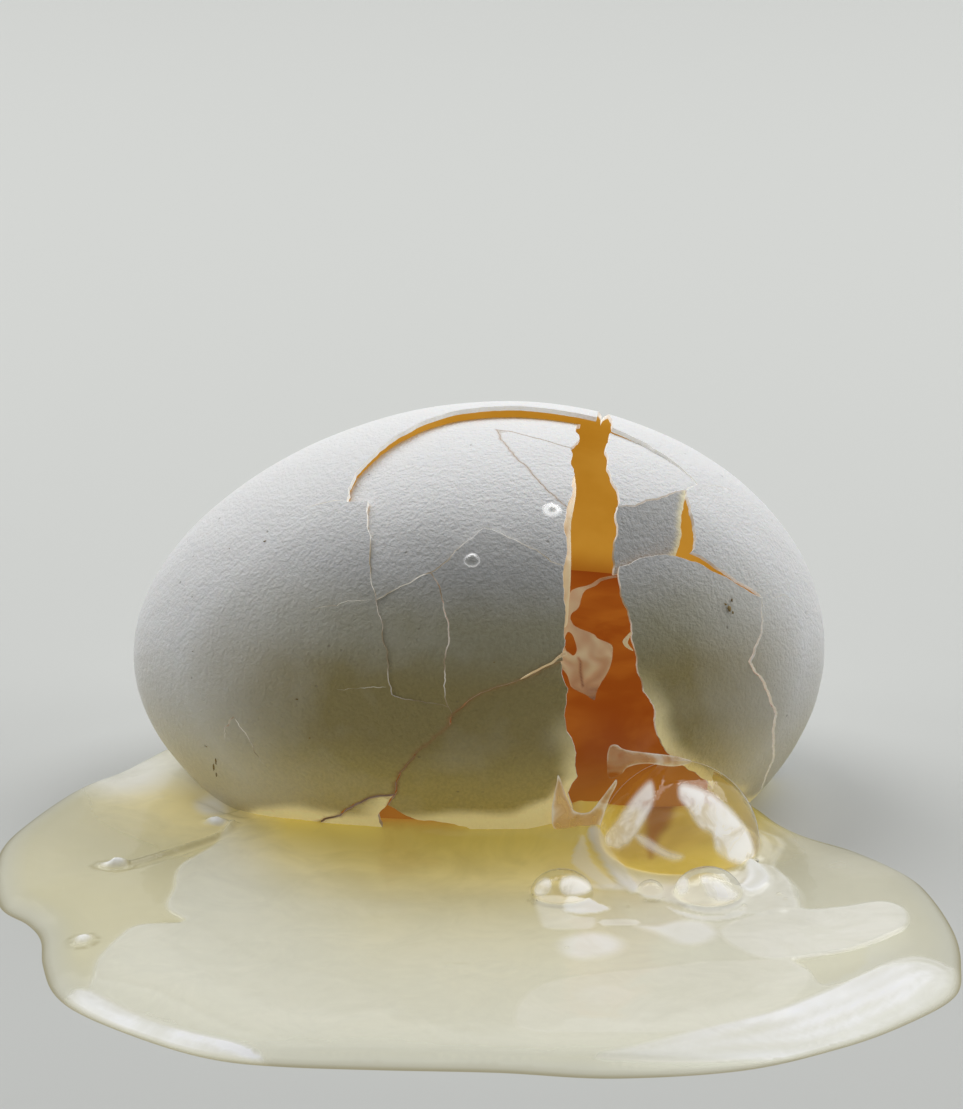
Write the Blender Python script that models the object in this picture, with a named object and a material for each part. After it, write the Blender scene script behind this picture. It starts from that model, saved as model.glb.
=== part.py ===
"""A cracked hen's egg lying on its side in a pool of its own white.

The egg is a turned form about its long axis, crushed flat against the table below. Cracks divide its shell
into one large piece, which holds both ends, the back and the top, and a handful of front plates that have
sunk or leaned inwards. Between the left and right plates a gash gapes open. Egg white fills the bottom of the
shell up to a level, and has run out through the gash into a pool with bubbles on it.

Lengths are in millimetres and angles in degrees; MM turns lengths into Blender's metres. A place on the shell
is a pair: x along the egg's axis from its middle, and the angle round the axis, 0 facing the front (-Y) and
90 at the top.
"""

from math import acos, asin, ceil, cos, exp, pi, radians, sin, sqrt, tau
from random import Random

import bmesh
import bpy
from mathutils import Matrix, Vector
from mathutils.geometry import delaunay_2d_cdt

MM = 0.001

# The egg: half its length, its greatest radius, and how its two ends differ from an ellipse's
HALF_LENGTH = 30.8
MAX_RADIUS = 22.0
TAPER = 0.067
SLIMNESS = 0.054
WALL = 0.4

# Where its middle stands over the table, and the tilt that lifts the blunt end
EGG_CENTRE = Vector((0.7, 21.0, 12.5))
EGG_TILT = 1.5

# Clearance between the shell and what lies against it, and how far each side of a crack is cut back
CLEARANCE = 0.3
CRACK_MARGIN = 0.18

# Mesh sizes: triangle edges on the shell and on the pool, and the length and the stray of a crack's zigzags
SHELL_MESH = 2.7
POOL_MESH = 3.6
CRACK_STEP = 1.7
CRACK_ZIGZAG = 0.13

# How mesh points are spread: the pitch between staggered rows and the room left beside an edge, as shares of
# a triangle's edge; the stations and turns of a whole turned egg, and of the finer one that cuts what lies
# against the shell; the faces round a pole of the shell
ROW_PITCH = 0.87
EDGE_ROOM = 0.45
EGG_STATIONS = 18
EGG_TURNS = 30
CUT_STATIONS = 24
CUT_TURNS = 40
POLE_TURNS = 5
SEAM_SLACK = 0.01

# The egg's profile, pole to pole, is this share of what a half circle on its half length would measure
PROFILE_SHARE = 0.88

# Faces that meet more sharply than this keep a crisp edge
SMOOTH_ANGLE = 35.0

# Egg white: its level in the shell, its clearance from the inner wall, and the pool's depth, rim and meniscus
INSIDE_LEVEL = 11.5
INSIDE_CLEARANCE = 1.5
POOL_DEPTH = 1.7
RIM_WIDTH = 3.2
MENISCUS_RISE = 1.7
MENISCUS_WIDTH = 4.0
MENISCUS_FRONT = 12.0
MENISCUS_BEHIND = 0.3

# Rings of mesh points that round the pool's rim, as shares of its width
RIM_RINGS = (0.15, 0.5)
RIM_ROOM = 0.8

# The swelling of the pool where the white runs out of the gash
MOUTH = Vector((16.0, -1.0))
MOUTH_RISE = 0.9
MOUTH_WIDTH = 7.0

# The pool's edge, clockwise from behind the pointed end, smoothed into one curve
POOL_EDGE = (
    (-24.5, 32.0), (-28.0, 27.3), (-31.8, 21.9), (-35.3, 18.0), (-38.9, 11.0), (-41.0, 5.0), (-41.3, -1.5),
    (-40.3, -8.4), (-37.8, -11.9), (-36.5, -15.2), (-36.0, -20.4), (-34.7, -26.3), (-31.8, -30.9),
    (-25.5, -36.5), (-20.4, -39.5), (-14.9, -40.7), (-7.1, -41.3), (2.4, -41.8), (11.6, -42.9),
    (22.2, -41.4), (30.5, -37.0), (36.1, -32.3), (40.4, -26.8), (41.3, -20.5), (41.2, -14.0), (39.8, -6.5),
    (37.9, -1.4), (33.9, 3.6), (29.8, 6.9), (27.2, 10.2), (25.0, 14.5), (21.5, 20.0), (18.5, 27.0),
    (17.0, 33.0), (16.0, 38.2), (8.0, 42.3), (0.0, 43.0), (-9.0, 41.8), (-17.5, 38.0),
)

# Cracks, each from one junction to the next, as (x, angle) places on the shell
CRACKS = {
    "arc": ((-11.0, 62.3), (-10.9, 67.0), (-10.3, 72.0), (-9.0, 77.0), (-7.4, 83.0), (-5.1, 89.0),
            (-2.4, 94.0), (0.7, 96.5), (4.2, 98.0), (9.4, 97.0)),
    "top_right": ((9.4, 97.0), (11.0, 96.5)),
    "slot": ((11.0, 96.5), (11.1, 106.0), (11.5, 125.0), (12.1, 106.0), (12.3, 90.5)),
    "top_left": ((-11.0, 62.3), (-9.2, 61.0)),
    "left_upper": ((-9.2, 61.0), (-9.0, 48.7), (-8.6, 33.6)),
    "left_lower": ((-8.6, 33.6), (-8.1, 24.4), (-7.4, 10.9)),
    "across_left": ((-8.6, 33.6), (-5.7, 37.0), (-3.8, 39.2)),
    "across_right": ((-3.8, 39.2), (-2.2, 42.0), (-0.8, 46.0), (0.8, 49.5), (3.8, 46.0), (6.6, 41.0),
                     (7.7, 40.0)),
    "middle": ((-3.8, 39.2), (-2.6, 29.5), (-2.3, 23.8), (-2.8, 18.2), (-2.5, 8.0)),
    "floor": ((-7.4, 10.9), (-5.1, 9.5), (-2.5, 8.0)),
    "floor_end": ((-2.5, 8.0), (-2.2, 6.3)),
    "lower": ((-2.2, 6.3), (-0.2, 10.2), (1.0, 11.5), (4.1, 14.0), (5.4, 15.7), (7.4, 18.0)),
    "lower_left": ((-2.2, 6.3), (-2.4, 3.7), (-5.3, -3.0), (-6.9, -8.9), (-7.4, -15.2)),
    "chip_top": ((-7.4, -15.2), (-8.8, -16.2), (-10.1, -18.4), (-12.3, -25.7), (-14.8, -33.0),
                 (-15.5, -60.0), (-15.5, -90.0)),
    "chip_right": ((-7.4, -15.2), (-8.1, -19.1)),
    "chip_foot": ((-8.1, -19.1), (-8.9, -22.6), (-9.2, -60.0)),
    "lower_foot": ((-8.1, -19.1), (-5.5, -22.7), (-1.3, -24.0), (1.0, -30.0), (1.2, -60.0)),
    "flake_top": ((1.9, 86.0), (4.6, 82.5), (8.5, 78.0)),
    "flake_low": ((1.9, 86.0), (3.4, 74.0), (5.6, 64.0), (8.1, 56.0)),
    "gash_top": ((9.4, 97.0), (9.3, 84.0), (8.5, 78.0)),
    "gash_flake": ((8.5, 78.0), (8.5, 71.3), (8.8, 67.1), (8.1, 56.0)),
    "gash_upper": ((8.1, 56.0), (7.8, 50.0), (7.7, 40.0)),
    "gash_lower": ((7.7, 40.0), (7.7, 27.4), (7.4, 18.0)),
    "gash_foot": ((7.4, 18.0), (8.0, 10.8), (7.6, 4.5), (8.4, -3.0), (8.6, -11.1), (7.7, -15.5),
                  (8.2, -24.0), (8.6, -60.0)),
    "cap_top": ((12.3, 90.5), (14.9, 87.2), (16.9, 83.2), (18.7, 78.4), (19.6, 75.0), (18.6, 69.8)),
    "cap_right": ((18.6, 69.8), (18.9, 61.5), (19.1, 49.3), (18.8, 47.9)),
    "cap_low": ((18.8, 47.9), (20.0, 46.8), (22.1, 43.4), (25.0, 38.3)),
    "end": ((25.0, 38.3), (25.0, 29.7), (24.6, 21.7), (23.8, 14.3), (24.2, 10.8), (25.5, -0.6),
            (26.1, -10.4), (25.9, -24.2), (25.1, -50.0), (24.2, -75.0), (24.0, -90.0)),
    "gash_right_top": ((12.3, 90.5), (11.8, 80.5), (11.8, 70.2), (12.5, 57.5)),
    "gash_right_mid": ((12.5, 57.5), (12.7, 50.6), (12.7, 39.8)),
    "gash_right_low": ((12.7, 39.8), (12.8, 34.8), (13.5, 28.9), (14.0, 20.0), (14.5, 12.5), (15.7, 4.2),
                       (15.8, -0.7), (16.4, -7.3), (18.0, -14.7), (20.1, -24.2), (22.6, -41.5),
                       (23.0, -90.0)),
    "crease": ((12.5, 57.5), (14.0, 58.5), (16.2, 63.2), (18.6, 69.8)),
    "sunk_right": ((18.6, 69.8), (18.3, 61.0), (18.1, 48.0), (17.4, 45.0)),
    "shoulder": ((12.7, 39.8), (14.5, 42.7), (15.8, 44.2), (17.4, 45.0)),
    "sunk_top": ((17.4, 45.0), (19.2, 44.6), (20.6, 42.9), (22.9, 40.6), (25.0, 38.3)),
}

# Front plates: the cracks round each, in order, and a minus sign where one is followed backwards. Then how
# the plate leans: the two places it hinges on, the place that sinks most, and by how much
PLATES = {
    "plate_upper": (
        ("arc", "gash_top", "-flake_top", "flake_low", "gash_upper", "-across_right", "-across_left",
         "-left_upper", "-top_left"),
        ((-8.6, 33.6), (7.7, 40.0)), (0.7, 96.5), 1.3),
    "plate_flake": (
        ("flake_top", "gash_flake", "-flake_low"),
        ((-8.6, 33.6), (7.7, 40.0)), (0.7, 96.5), 1.3),
    "plate_left": (
        ("across_left", "middle", "-floor", "-left_lower"),
        ((-3.8, 39.2), (-2.5, 8.0)), (-8.4, 24.0), 0.3),
    "plate_middle": (
        ("across_right", "gash_lower", "-lower", "-floor_end", "-middle"),
        None, None, 0.0),
    "plate_lower": (
        ("lower", "gash_foot", "-lower_foot", "-chip_right", "-lower_left"),
        ((1.2, -36.0), (8.6, -40.0)), (4.0, 14.0), 0.6),
    "plate_chip": (
        ("chip_right", "chip_foot", "-chip_top"),
        None, None, 0.0),
    "plate_right_top": (
        ("cap_top", "-crease", "-gash_right_top"),
        ((12.5, 57.5), (18.6, 69.8)), (13.0, 89.0), 0.65),
    "plate_right_fold": (
        ("crease", "sunk_right", "-shoulder", "-gash_right_mid"),
        ((12.5, 57.5), (18.6, 69.8)), (18.1, 48.0), 1.3),
    "plate_right_low": (
        ("shoulder", "sunk_top", "end", "-gash_right_low"),
        ((25.0, 38.3), (24.7, -62.0)), (17.4, 45.0), 0.4),
}

# Bubbles on the pool: centre, radius of the foot, and height
BUBBLES = {
    "bubble_large": ((18.1, 0.9), 7.1, 7.0),
    "bubble_right": ((20.3, -9.7), 3.0, 2.1),
    "bubble_left": ((7.8, -9.4), 2.7, 2.0),
}

BUBBLE_RINGS = 6
BUBBLE_TURNS = 20
BUBBLE_RIM = 0.15

# The torn inner skin hanging in the gash: its corners as (x, angle, depth under the shell), its thickness, how
# far its middle swells forward, and its mesh steps each way
SKIN_CORNERS = ((8.1, 27.0, 0.9), (12.0, 21.5, 2.2), (10.8, 7.5, 2.4), (8.5, 12.0, 1.3))
SKIN_THICKNESS = 0.25
SKIN_SWELL = 0.7
SKIN_STEPS = 5

# Colours and finishes of the pieces: base colour, roughness, alpha
SHELL_WHITE = ((0.80, 0.79, 0.76), 0.62, 1.0)
INSIDE_AMBER = ((0.62, 0.20, 0.03), 0.12, 1.0)
POOL_STRAW = ((0.74, 0.70, 0.48), 0.06, 0.75)
FILM_CLEAR = ((0.86, 0.84, 0.74), 0.05, 0.45)
SKIN_PINK = ((0.82, 0.56, 0.42), 0.30, 1.0)


# ---------------------------------------------------------------- the egg's form

def station(x):
    """The turning parameter at x along the axis: 0 at the pointed end, pi at the blunt one."""
    return acos(max(-1.0, min(1.0, -x / HALF_LENGTH)))


def egg_point(t, angle, depth=0.0):
    """The place on the egg at station t and angle (radians), moved inwards by depth, in the egg's frame."""
    c, s = cos(t), sin(t)
    bulge = 1.0 - TAPER * c - SLIMNESS * c * c
    radius = MAX_RADIUS * s * bulge
    run = HALF_LENGTH * s
    rise = MAX_RADIUS * (c * bulge + s * s * (TAPER + 2.0 * SLIMNESS * c))
    length = sqrt(run * run + rise * rise)
    x = -HALF_LENGTH * c + depth * rise / length
    radius -= depth * run / length
    return Vector((x, -radius * cos(angle), radius * sin(angle)))


def radius_at(x):
    """The egg's radius at x along its axis."""
    c = -x / HALF_LENGTH
    return MAX_RADIUS * sqrt(max(0.0, 1.0 - c * c)) * (1.0 - TAPER * c - SLIMNESS * c * c)


def place(x, angle, depth=0.0):
    """A place on the shell given in millimetres and degrees, as a point in the egg's frame."""
    return egg_point(station(x), radians(angle), depth)


EGG_TO_WORLD = Matrix.Translation(EGG_CENTRE) @ Matrix.Rotation(-radians(EGG_TILT), 4, "Y")


# ---------------------------------------------------------------- objects and materials

def material(name, finish):
    """A plain material of one base colour, roughness and alpha."""
    colour, roughness, alpha = finish
    made = bpy.data.materials.new(name)
    made.use_nodes = True
    shader = made.node_tree.nodes["Principled BSDF"]
    shader.inputs["Base Color"].default_value = (*colour, 1.0)
    shader.inputs["Roughness"].default_value = roughness
    shader.inputs["Metallic"].default_value = 0.0
    shader.inputs["Alpha"].default_value = alpha
    made.diffuse_color = (*colour, 1.0)
    return made


def new_object(name, points, faces, finish=None):
    """A mesh object from points in millimetres, with its faces turned outwards."""
    mesh = bpy.data.meshes.new(name)
    mesh.from_pydata([p * MM for p in points], [], faces)
    shaped = bmesh.new()
    shaped.from_mesh(mesh)
    bmesh.ops.recalc_face_normals(shaped, faces=shaped.faces)
    shaped.to_mesh(mesh)
    shaped.free()
    mesh.shade_smooth()
    mesh.set_sharp_from_angle(angle=radians(SMOOTH_ANGLE))
    made = bpy.data.objects.new(name, mesh)
    bpy.context.collection.objects.link(made)
    if finish:
        mesh.materials.append(material(name, finish))
    return made


def cutter(name, points, faces):
    """An object that only shapes others: it isn't rendered and shows as wire."""
    made = new_object(name, points, faces)
    made.hide_render = True
    made.display_type = "WIRE"
    return made


def cut(target, tool, operation="DIFFERENCE"):
    """Cuts an object with a tool, keeping the exact solver."""
    boolean = target.modifiers.new(tool.name, "BOOLEAN")
    boolean.operation = operation
    boolean.solver = "EXACT"
    boolean.object = tool


def box_cutter(name, low, high):
    """A box-shaped cutter between two corners."""
    sides = list(zip(low, high))
    corners = [Vector((x, y, z)) for x in sides[0] for y in sides[1] for z in sides[2]]
    faces = [(0, 1, 3, 2), (4, 6, 7, 5), (0, 4, 5, 1), (2, 3, 7, 6), (0, 2, 6, 4), (1, 5, 7, 3)]
    return cutter(name, corners, faces)


def turned_egg(depth, stations=EGG_STATIONS, turns=EGG_TURNS):
    """A whole turned egg, moved inwards by depth from the shell's outer face, in world millimetres."""
    profile = [egg_point(pi * i / stations, radians(90.0), depth) for i in range(stations + 1)]
    shaped = bmesh.new()
    points = [shaped.verts.new(p) for p in profile]
    edges = [shaped.edges.new(pair) for pair in zip(points, points[1:])]
    bmesh.ops.spin(shaped, geom=points + edges, cent=(0.0, 0.0, 0.0), axis=(1.0, 0.0, 0.0), angle=tau,
                   steps=turns, use_merge=True)
    bmesh.ops.remove_doubles(shaped, verts=shaped.verts, dist=0.001)
    shaped.verts.ensure_lookup_table()
    places = [EGG_TO_WORLD @ v.co for v in shaped.verts]
    faces = [tuple(v.index for v in f.verts) for f in shaped.faces]
    shaped.free()
    return places, faces


# ---------------------------------------------------------------- flat regions, triangulated

def inside(point, loop):
    """Whether a flat point lies inside a closed loop."""
    x, y = point
    found = False
    for (x1, y1), (x2, y2) in zip(loop, loop[1:] + loop[:1]):
        if (y1 > y) != (y2 > y) and x < (x2 - x1) * (y - y1) / (y2 - y1) + x1:
            found = not found
    return found


def nearest(point, loop):
    """The distance from a flat point to a loop's nearest segment."""
    p = Vector(point)
    best = 1.0e9
    for a, b in zip(loop, loop[1:] + loop[:1]):
        a, b = Vector(a), Vector(b)
        along = max(0.0, min(1.0, (p - a).dot(b - a) / max(1.0e-12, (b - a).length_squared)))
        best = min(best, (p - a.lerp(b, along)).length)
    return best


def triangulate(outer, holes, fill):
    """Triangles over the region inside outer and outside the holes, using the fill points too."""
    points, edges = [], []
    for loop in [outer] + holes:
        first = len(points)
        points += [Vector(p) for p in loop]
        edges += [(first + i, first + (i + 1) % len(loop)) for i in range(len(loop))]
    points += [Vector(p) for p in fill]
    flat, _, faces, _, _, _ = delaunay_2d_cdt(points, edges, [], 0, 1.0e-6)
    kept = []
    for face in faces:
        middle = sum((flat[i] for i in face), Vector((0.0, 0.0))) / 3.0
        if inside(middle, outer) and not any(inside(middle, hole) for hole in holes):
            kept.append(tuple(face))
    return [tuple(p) for p in flat], kept


def free_edges(faces):
    """The edges that only one face uses, each in its face's direction."""
    directed = {(a, b) for face in faces for a, b in zip(face, face[1:] + face[:1])}
    return [(a, b) for a, b in directed if (b, a) not in directed]


def sorted_loop(edges):
    """The edges of one closed loop, each starting where the last one ended."""
    after = dict(edges)
    first = min(after)
    loop, here = [(first, after[first])], after[first]
    while here != first:
        loop.append((here, after[here]))
        here = after[here]
    return loop


def slab(top, bottom, faces):
    """A closed body between two sheets that share the same faces."""
    count = len(top)
    body = list(faces) + [tuple(i + count for i in reversed(face)) for face in faces]
    body += [(b, a, a + count, b + count) for a, b in sorted(free_edges(faces))]
    return list(top) + list(bottom), body


def welded(flat, faces, lift):
    """Merges flat points that lift to one place, and drops the faces that collapse."""
    found, chosen, index = {}, [], []
    for p in flat:
        key = tuple(round(c, 3) for c in lift(p))
        if key not in found:
            found[key] = len(chosen)
            chosen.append(p)
        index.append(found[key])
    merged = [tuple(index[i] for i in face) for face in faces]
    return chosen, [face for face in merged if len(set(face)) == 3]


# ---------------------------------------------------------------- cracks and plates

def zigzag(name, places):
    """A crack's route in (station, angle) radians, broken into short steps that stray to either side."""
    chance = Random(name)
    route = [(station(x), radians(angle)) for x, angle in places]
    fine = [route[0]]
    for (t1, a1), (t2, a2) in zip(route, route[1:]):
        length = (egg_point(t2, a2) - egg_point(t1, a1)).length
        steps = max(1, round(length / CRACK_STEP))
        for i in range(1, steps):
            stray = chance.uniform(-CRACK_ZIGZAG, CRACK_ZIGZAG)
            share = i / steps
            t, a = t1 + (t2 - t1) * share, a1 + (a2 - a1) * share
            across = (t2 - t1) * HALF_LENGTH, (a2 - a1) * MAX_RADIUS
            size = max(1.0e-9, sqrt(across[0] ** 2 + across[1] ** 2))
            fine.append((t - stray * across[1] / size / HALF_LENGTH,
                         a + stray * across[0] / size / MAX_RADIUS))
        fine.append((t2, a2))
    return fine


ROUTES = {name: zigzag(name, places) for name, places in CRACKS.items()}


def joined(names):
    """One closed loop from cracks followed in turn; a minus sign follows one backwards."""
    loop = []
    for name in names:
        route = ROUTES[name.lstrip("-")]
        loop += (list(reversed(route)) if name.startswith("-") else route)[:-1]
    return loop


def drawn_in(loop, margin):
    """The loop moved sideways over the shell by margin: into its own area, or outwards if negative."""
    area = sum(t1 * a2 - t2 * a1 for (t1, a1), (t2, a2) in zip(loop, loop[1:] + loop[:1]))
    turn = 1.0 if area > 0.0 else -1.0
    moved = []
    for before, here, after in zip(loop[-1:] + loop[:-1], loop, loop[1:] + loop[:1]):
        scale = MAX_RADIUS * sin(here[0])
        first = Vector(((here[0] - before[0]) * HALF_LENGTH, (here[1] - before[1]) * scale)).normalized()
        second = Vector(((after[0] - here[0]) * HALF_LENGTH, (after[1] - here[1]) * scale)).normalized()
        along = (first + second).normalized() if (first + second).length > 0.2 else second
        step = margin / max(0.55, along.dot(first))
        moved.append((here[0] - turn * along.y * step / HALF_LENGTH, here[1] + turn * along.x * step / scale))
    return moved


def flat_map(loop):
    """A loop of (station, angle) pairs laid out flat at about true size."""
    return [(t * HALF_LENGTH * PROFILE_SHARE, a * MAX_RADIUS) for t, a in loop]


def unflatten(point):
    """The (station, angle) pair of a flat point."""
    return point[0] / (HALF_LENGTH * PROFILE_SHARE), point[1] / MAX_RADIUS


def leaning(hinge, lowest, sink):
    """The rotation about a hinge line that sinks one place of a plate by a given depth."""
    if not hinge:
        return Matrix()
    a, b, c = place(*hinge[0]), place(*hinge[1]), place(*lowest)
    axis = (b - a).normalized()
    foot = a + axis * (c - a).dot(axis)
    inward = place(lowest[0], lowest[1], 1.0) - c
    angle = asin(sink / (c - foot).length)
    if axis.cross(c - foot).dot(inward) < 0.0:
        angle = -angle
    return Matrix.Translation(a) @ Matrix.Rotation(angle, 4, axis) @ Matrix.Translation(-a)


def make_plate(name, table):
    """One front plate: its cracks' outline filled, wrapped on the egg, given its wall and leaned."""
    names, hinge, lowest, sink = PLATES[name]
    outline = flat_map(drawn_in(joined(names), CRACK_MARGIN))
    xs, ys = zip(*outline)
    fill, row, y = [], 0, min(ys)
    while y < max(ys):
        x = min(xs) + (SHELL_MESH / 2.0 if row % 2 else 0.0)
        while x < max(xs):
            if inside((x, y), outline) and nearest((x, y), outline) > SHELL_MESH * EDGE_ROOM:
                fill.append((x, y))
            x += SHELL_MESH
        y += SHELL_MESH * ROW_PITCH
        row += 1
    flat, faces = triangulate(outline, [], fill)
    lean = EGG_TO_WORLD @ leaning(hinge, lowest, sink)
    outer = [lean @ egg_point(*unflatten(p)) for p in flat]
    inner = [lean @ egg_point(*unflatten(p), WALL) for p in flat]
    plate = new_object(name, *slab(outer, inner, faces), SHELL_WHITE)
    if min(p.z for p in outer + inner) < 0.0:
        cut(plate, table)


def make_main_shell(table):
    """The large piece: the whole turned wall, opened along the cracks of the front and cut by the table."""
    opening = flat_map(drawn_in(joined((
        "arc", "top_right", "slot", "cap_top", "cap_right", "cap_low", "end")) + joined((
            "-chip_top", "-lower_left", "-floor_end", "-floor", "-left_lower", "-left_upper", "-top_left")),
        -CRACK_MARGIN))
    rings = round(pi * HALF_LENGTH * PROFILE_SHARE / SHELL_MESH)
    seam_low, seam_high = radians(-90.0), radians(270.0)
    corners = flat_map([(0.0, seam_low), (pi, seam_low), (pi, seam_high), (0.0, seam_high)])
    seam_stations = [pi * i / rings for i in range(1, rings)]
    fill = []
    for seam in (seam_low, seam_high):
        fill += flat_map([(t, seam) for t in seam_stations])
    for pole in (0.0, pi):
        fill += flat_map([(pole, seam_low + tau * i / POLE_TURNS) for i in range(1, POLE_TURNS)])
    for ring in range(1, rings):
        t = pi * ring / rings
        turns = max(POLE_TURNS, ceil(tau * radius_at(-HALF_LENGTH * cos(t)) / SHELL_MESH))
        for i in range(turns):
            angle = seam_low + tau * (i + (0.5 if ring % 2 else 0.0)) / turns
            if angle < seam_low + SEAM_SLACK or angle > seam_high - SEAM_SLACK:
                continue
            if (EGG_TO_WORLD @ egg_point(t, angle)).z < -SHELL_MESH:
                continue
            spot = flat_map([(t, angle)])[0]
            if not inside(spot, opening) and nearest(spot, opening) > SHELL_MESH * EDGE_ROOM:
                fill.append(spot)
    for point in opening:
        t, angle = unflatten(point)
        if angle < seam_low + SEAM_SLACK:
            fill += flat_map([(t, seam_high)])
    flat, faces = triangulate(corners, [opening], fill)
    flat, faces = welded(flat, faces, lambda p: egg_point(*unflatten(p)))
    outer = [EGG_TO_WORLD @ egg_point(*unflatten(p)) for p in flat]
    inner = [EGG_TO_WORLD @ egg_point(*unflatten(p), WALL) for p in flat]
    shell = new_object("main_shell", *slab(outer, inner, faces), SHELL_WHITE)
    cut(shell, table)


def make_skin():
    """The torn inner skin: a thin bent sheet between four corners in the gash."""
    a, b, c, d = (place(*corner) for corner in SKIN_CORNERS)
    top, faces = [], []
    for i in range(SKIN_STEPS + 1):
        for j in range(SKIN_STEPS + 1):
            u, v = i / SKIN_STEPS, j / SKIN_STEPS
            point = a.lerp(b, u).lerp(d.lerp(c, u), v)
            point.y -= SKIN_SWELL * sin(pi * v) * u
            top.append(EGG_TO_WORLD @ point)
    for i in range(SKIN_STEPS):
        for j in range(SKIN_STEPS):
            k = i * (SKIN_STEPS + 1) + j
            faces += [(k, k + 1, k + SKIN_STEPS + 2), (k, k + SKIN_STEPS + 2, k + SKIN_STEPS + 1)]
    back = [p + Vector((0.0, SKIN_THICKNESS, 0.0)) for p in top]
    new_object("inner_skin", *slab(top, back, faces), SKIN_PINK)


# ---------------------------------------------------------------- egg white

def smooth_loop(points, steps):
    """A closed curve through the points, with a number of steps between each two."""
    curve = []
    for i in range(len(points)):
        p0, p1, p2, p3 = (Vector(points[(i + k - 1) % len(points)]) for k in range(4))
        for step in range(steps):
            u = step / steps
            curve.append(0.5 * (2.0 * p1 + (p2 - p0) * u + (2.0 * p0 - 5.0 * p1 + 4.0 * p2 - p3) * u ** 2
                                + (3.0 * p1 - p0 - 3.0 * p2 + p3) * u ** 3))
    return curve


def egg_section(height, count):
    """The loop where a level plane meets the egg, as flat world points."""
    loop = []
    world_to_egg = EGG_TO_WORLD.inverted()
    for i in range(count):
        heading = Vector((cos(tau * i / count), sin(tau * i / count)))
        near, far = 0.0, HALF_LENGTH + 2.0
        while far - near > 0.001:
            middle = (near + far) / 2.0
            across = EGG_CENTRE.xy + heading * middle
            spot = world_to_egg @ Vector((across.x, across.y, height))
            within = abs(spot.x) < HALF_LENGTH and Vector((spot.y, spot.z)).length < radius_at(spot.x)
            near, far = (middle, far) if within else (near, middle)
        loop.append(tuple(EGG_CENTRE.xy + heading * far))
    return loop


POOL_LOOP = [tuple(p) for p in smooth_loop(POOL_EDGE, 2)]
FOOT_LOOP = egg_section(POOL_DEPTH, 48)


def pool_height(x, y):
    """The height of the pool's surface over a place on the table."""
    rim = min(1.0, nearest((x, y), POOL_LOOP) / RIM_WIDTH)
    front = max(MENISCUS_BEHIND, min(1.0, (EGG_CENTRE.y - y) / MENISCUS_FRONT))
    climb = 0.0 if inside((x, y), FOOT_LOOP) else nearest((x, y), FOOT_LOOP)
    height = POOL_DEPTH * sqrt(max(0.0, 1.0 - (1.0 - rim) ** 2))
    height += MENISCUS_RISE * front * exp(-climb / MENISCUS_WIDTH) * rim
    height += MOUTH_RISE * exp(-((Vector((x, y)) - MOUTH).length / MOUTH_WIDTH) ** 2) * rim
    return height


def ring_inside(loop, distance):
    """Points at a distance inside a loop, one for each of its own."""
    ring = []
    for before, here, after in zip(loop[-1:] + loop[:-1], loop, loop[1:] + loop[:1]):
        along = (Vector(after) - Vector(before)).normalized()
        across = Vector((along.y, -along.x)) * distance
        spot = Vector(here) + across
        ring.append(tuple(spot if inside(spot, loop) else Vector(here) - across))
    return ring


def make_pool(keep_off):
    """The pool: a lens with a rounded rim and a flat underside, cut out where the egg stands in it."""
    fill = [spot for share in RIM_RINGS for spot in ring_inside(POOL_LOOP, RIM_WIDTH * share)]
    rows = ceil(3.0 * HALF_LENGTH / POOL_MESH)
    for i in range(-rows, rows):
        for j in range(-rows, rows):
            spot = ((i + (0.5 if j % 2 else 0.0)) * POOL_MESH, j * POOL_MESH * ROW_PITCH)
            if inside(spot, POOL_LOOP) and nearest(spot, POOL_LOOP) > RIM_WIDTH * RIM_ROOM:
                buried = inside(spot, FOOT_LOOP) and nearest(spot, FOOT_LOOP) > 2.0 * POOL_MESH
                if not buried:
                    fill.append(spot)
    flat, faces = triangulate(POOL_LOOP, [], fill)
    rim = {i for edge in free_edges(faces) for i in edge}
    points = [Vector((x, y, 0.0 if i in rim else pool_height(x, y))) for i, (x, y) in enumerate(flat)]
    underside = [b for a, b in sorted_loop(free_edges(faces))]
    body = list(faces) + [tuple(reversed(underside))]
    pool = new_object("white_pool", points, body, POOL_STRAW)
    cut(pool, keep_off)


def make_inside(table):
    """The white and yolk left in the shell: the egg's inner form, cut by the table and by its own level."""
    body = new_object("white_inside", *turned_egg(INSIDE_CLEARANCE), INSIDE_AMBER)
    cut(body, table)
    reach = 2.0 * HALF_LENGTH
    above = box_cutter("cut_level", (-reach, -reach, INSIDE_LEVEL), (reach, 2.0 * reach, 3.0 * reach))
    cut(body, above)


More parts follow.
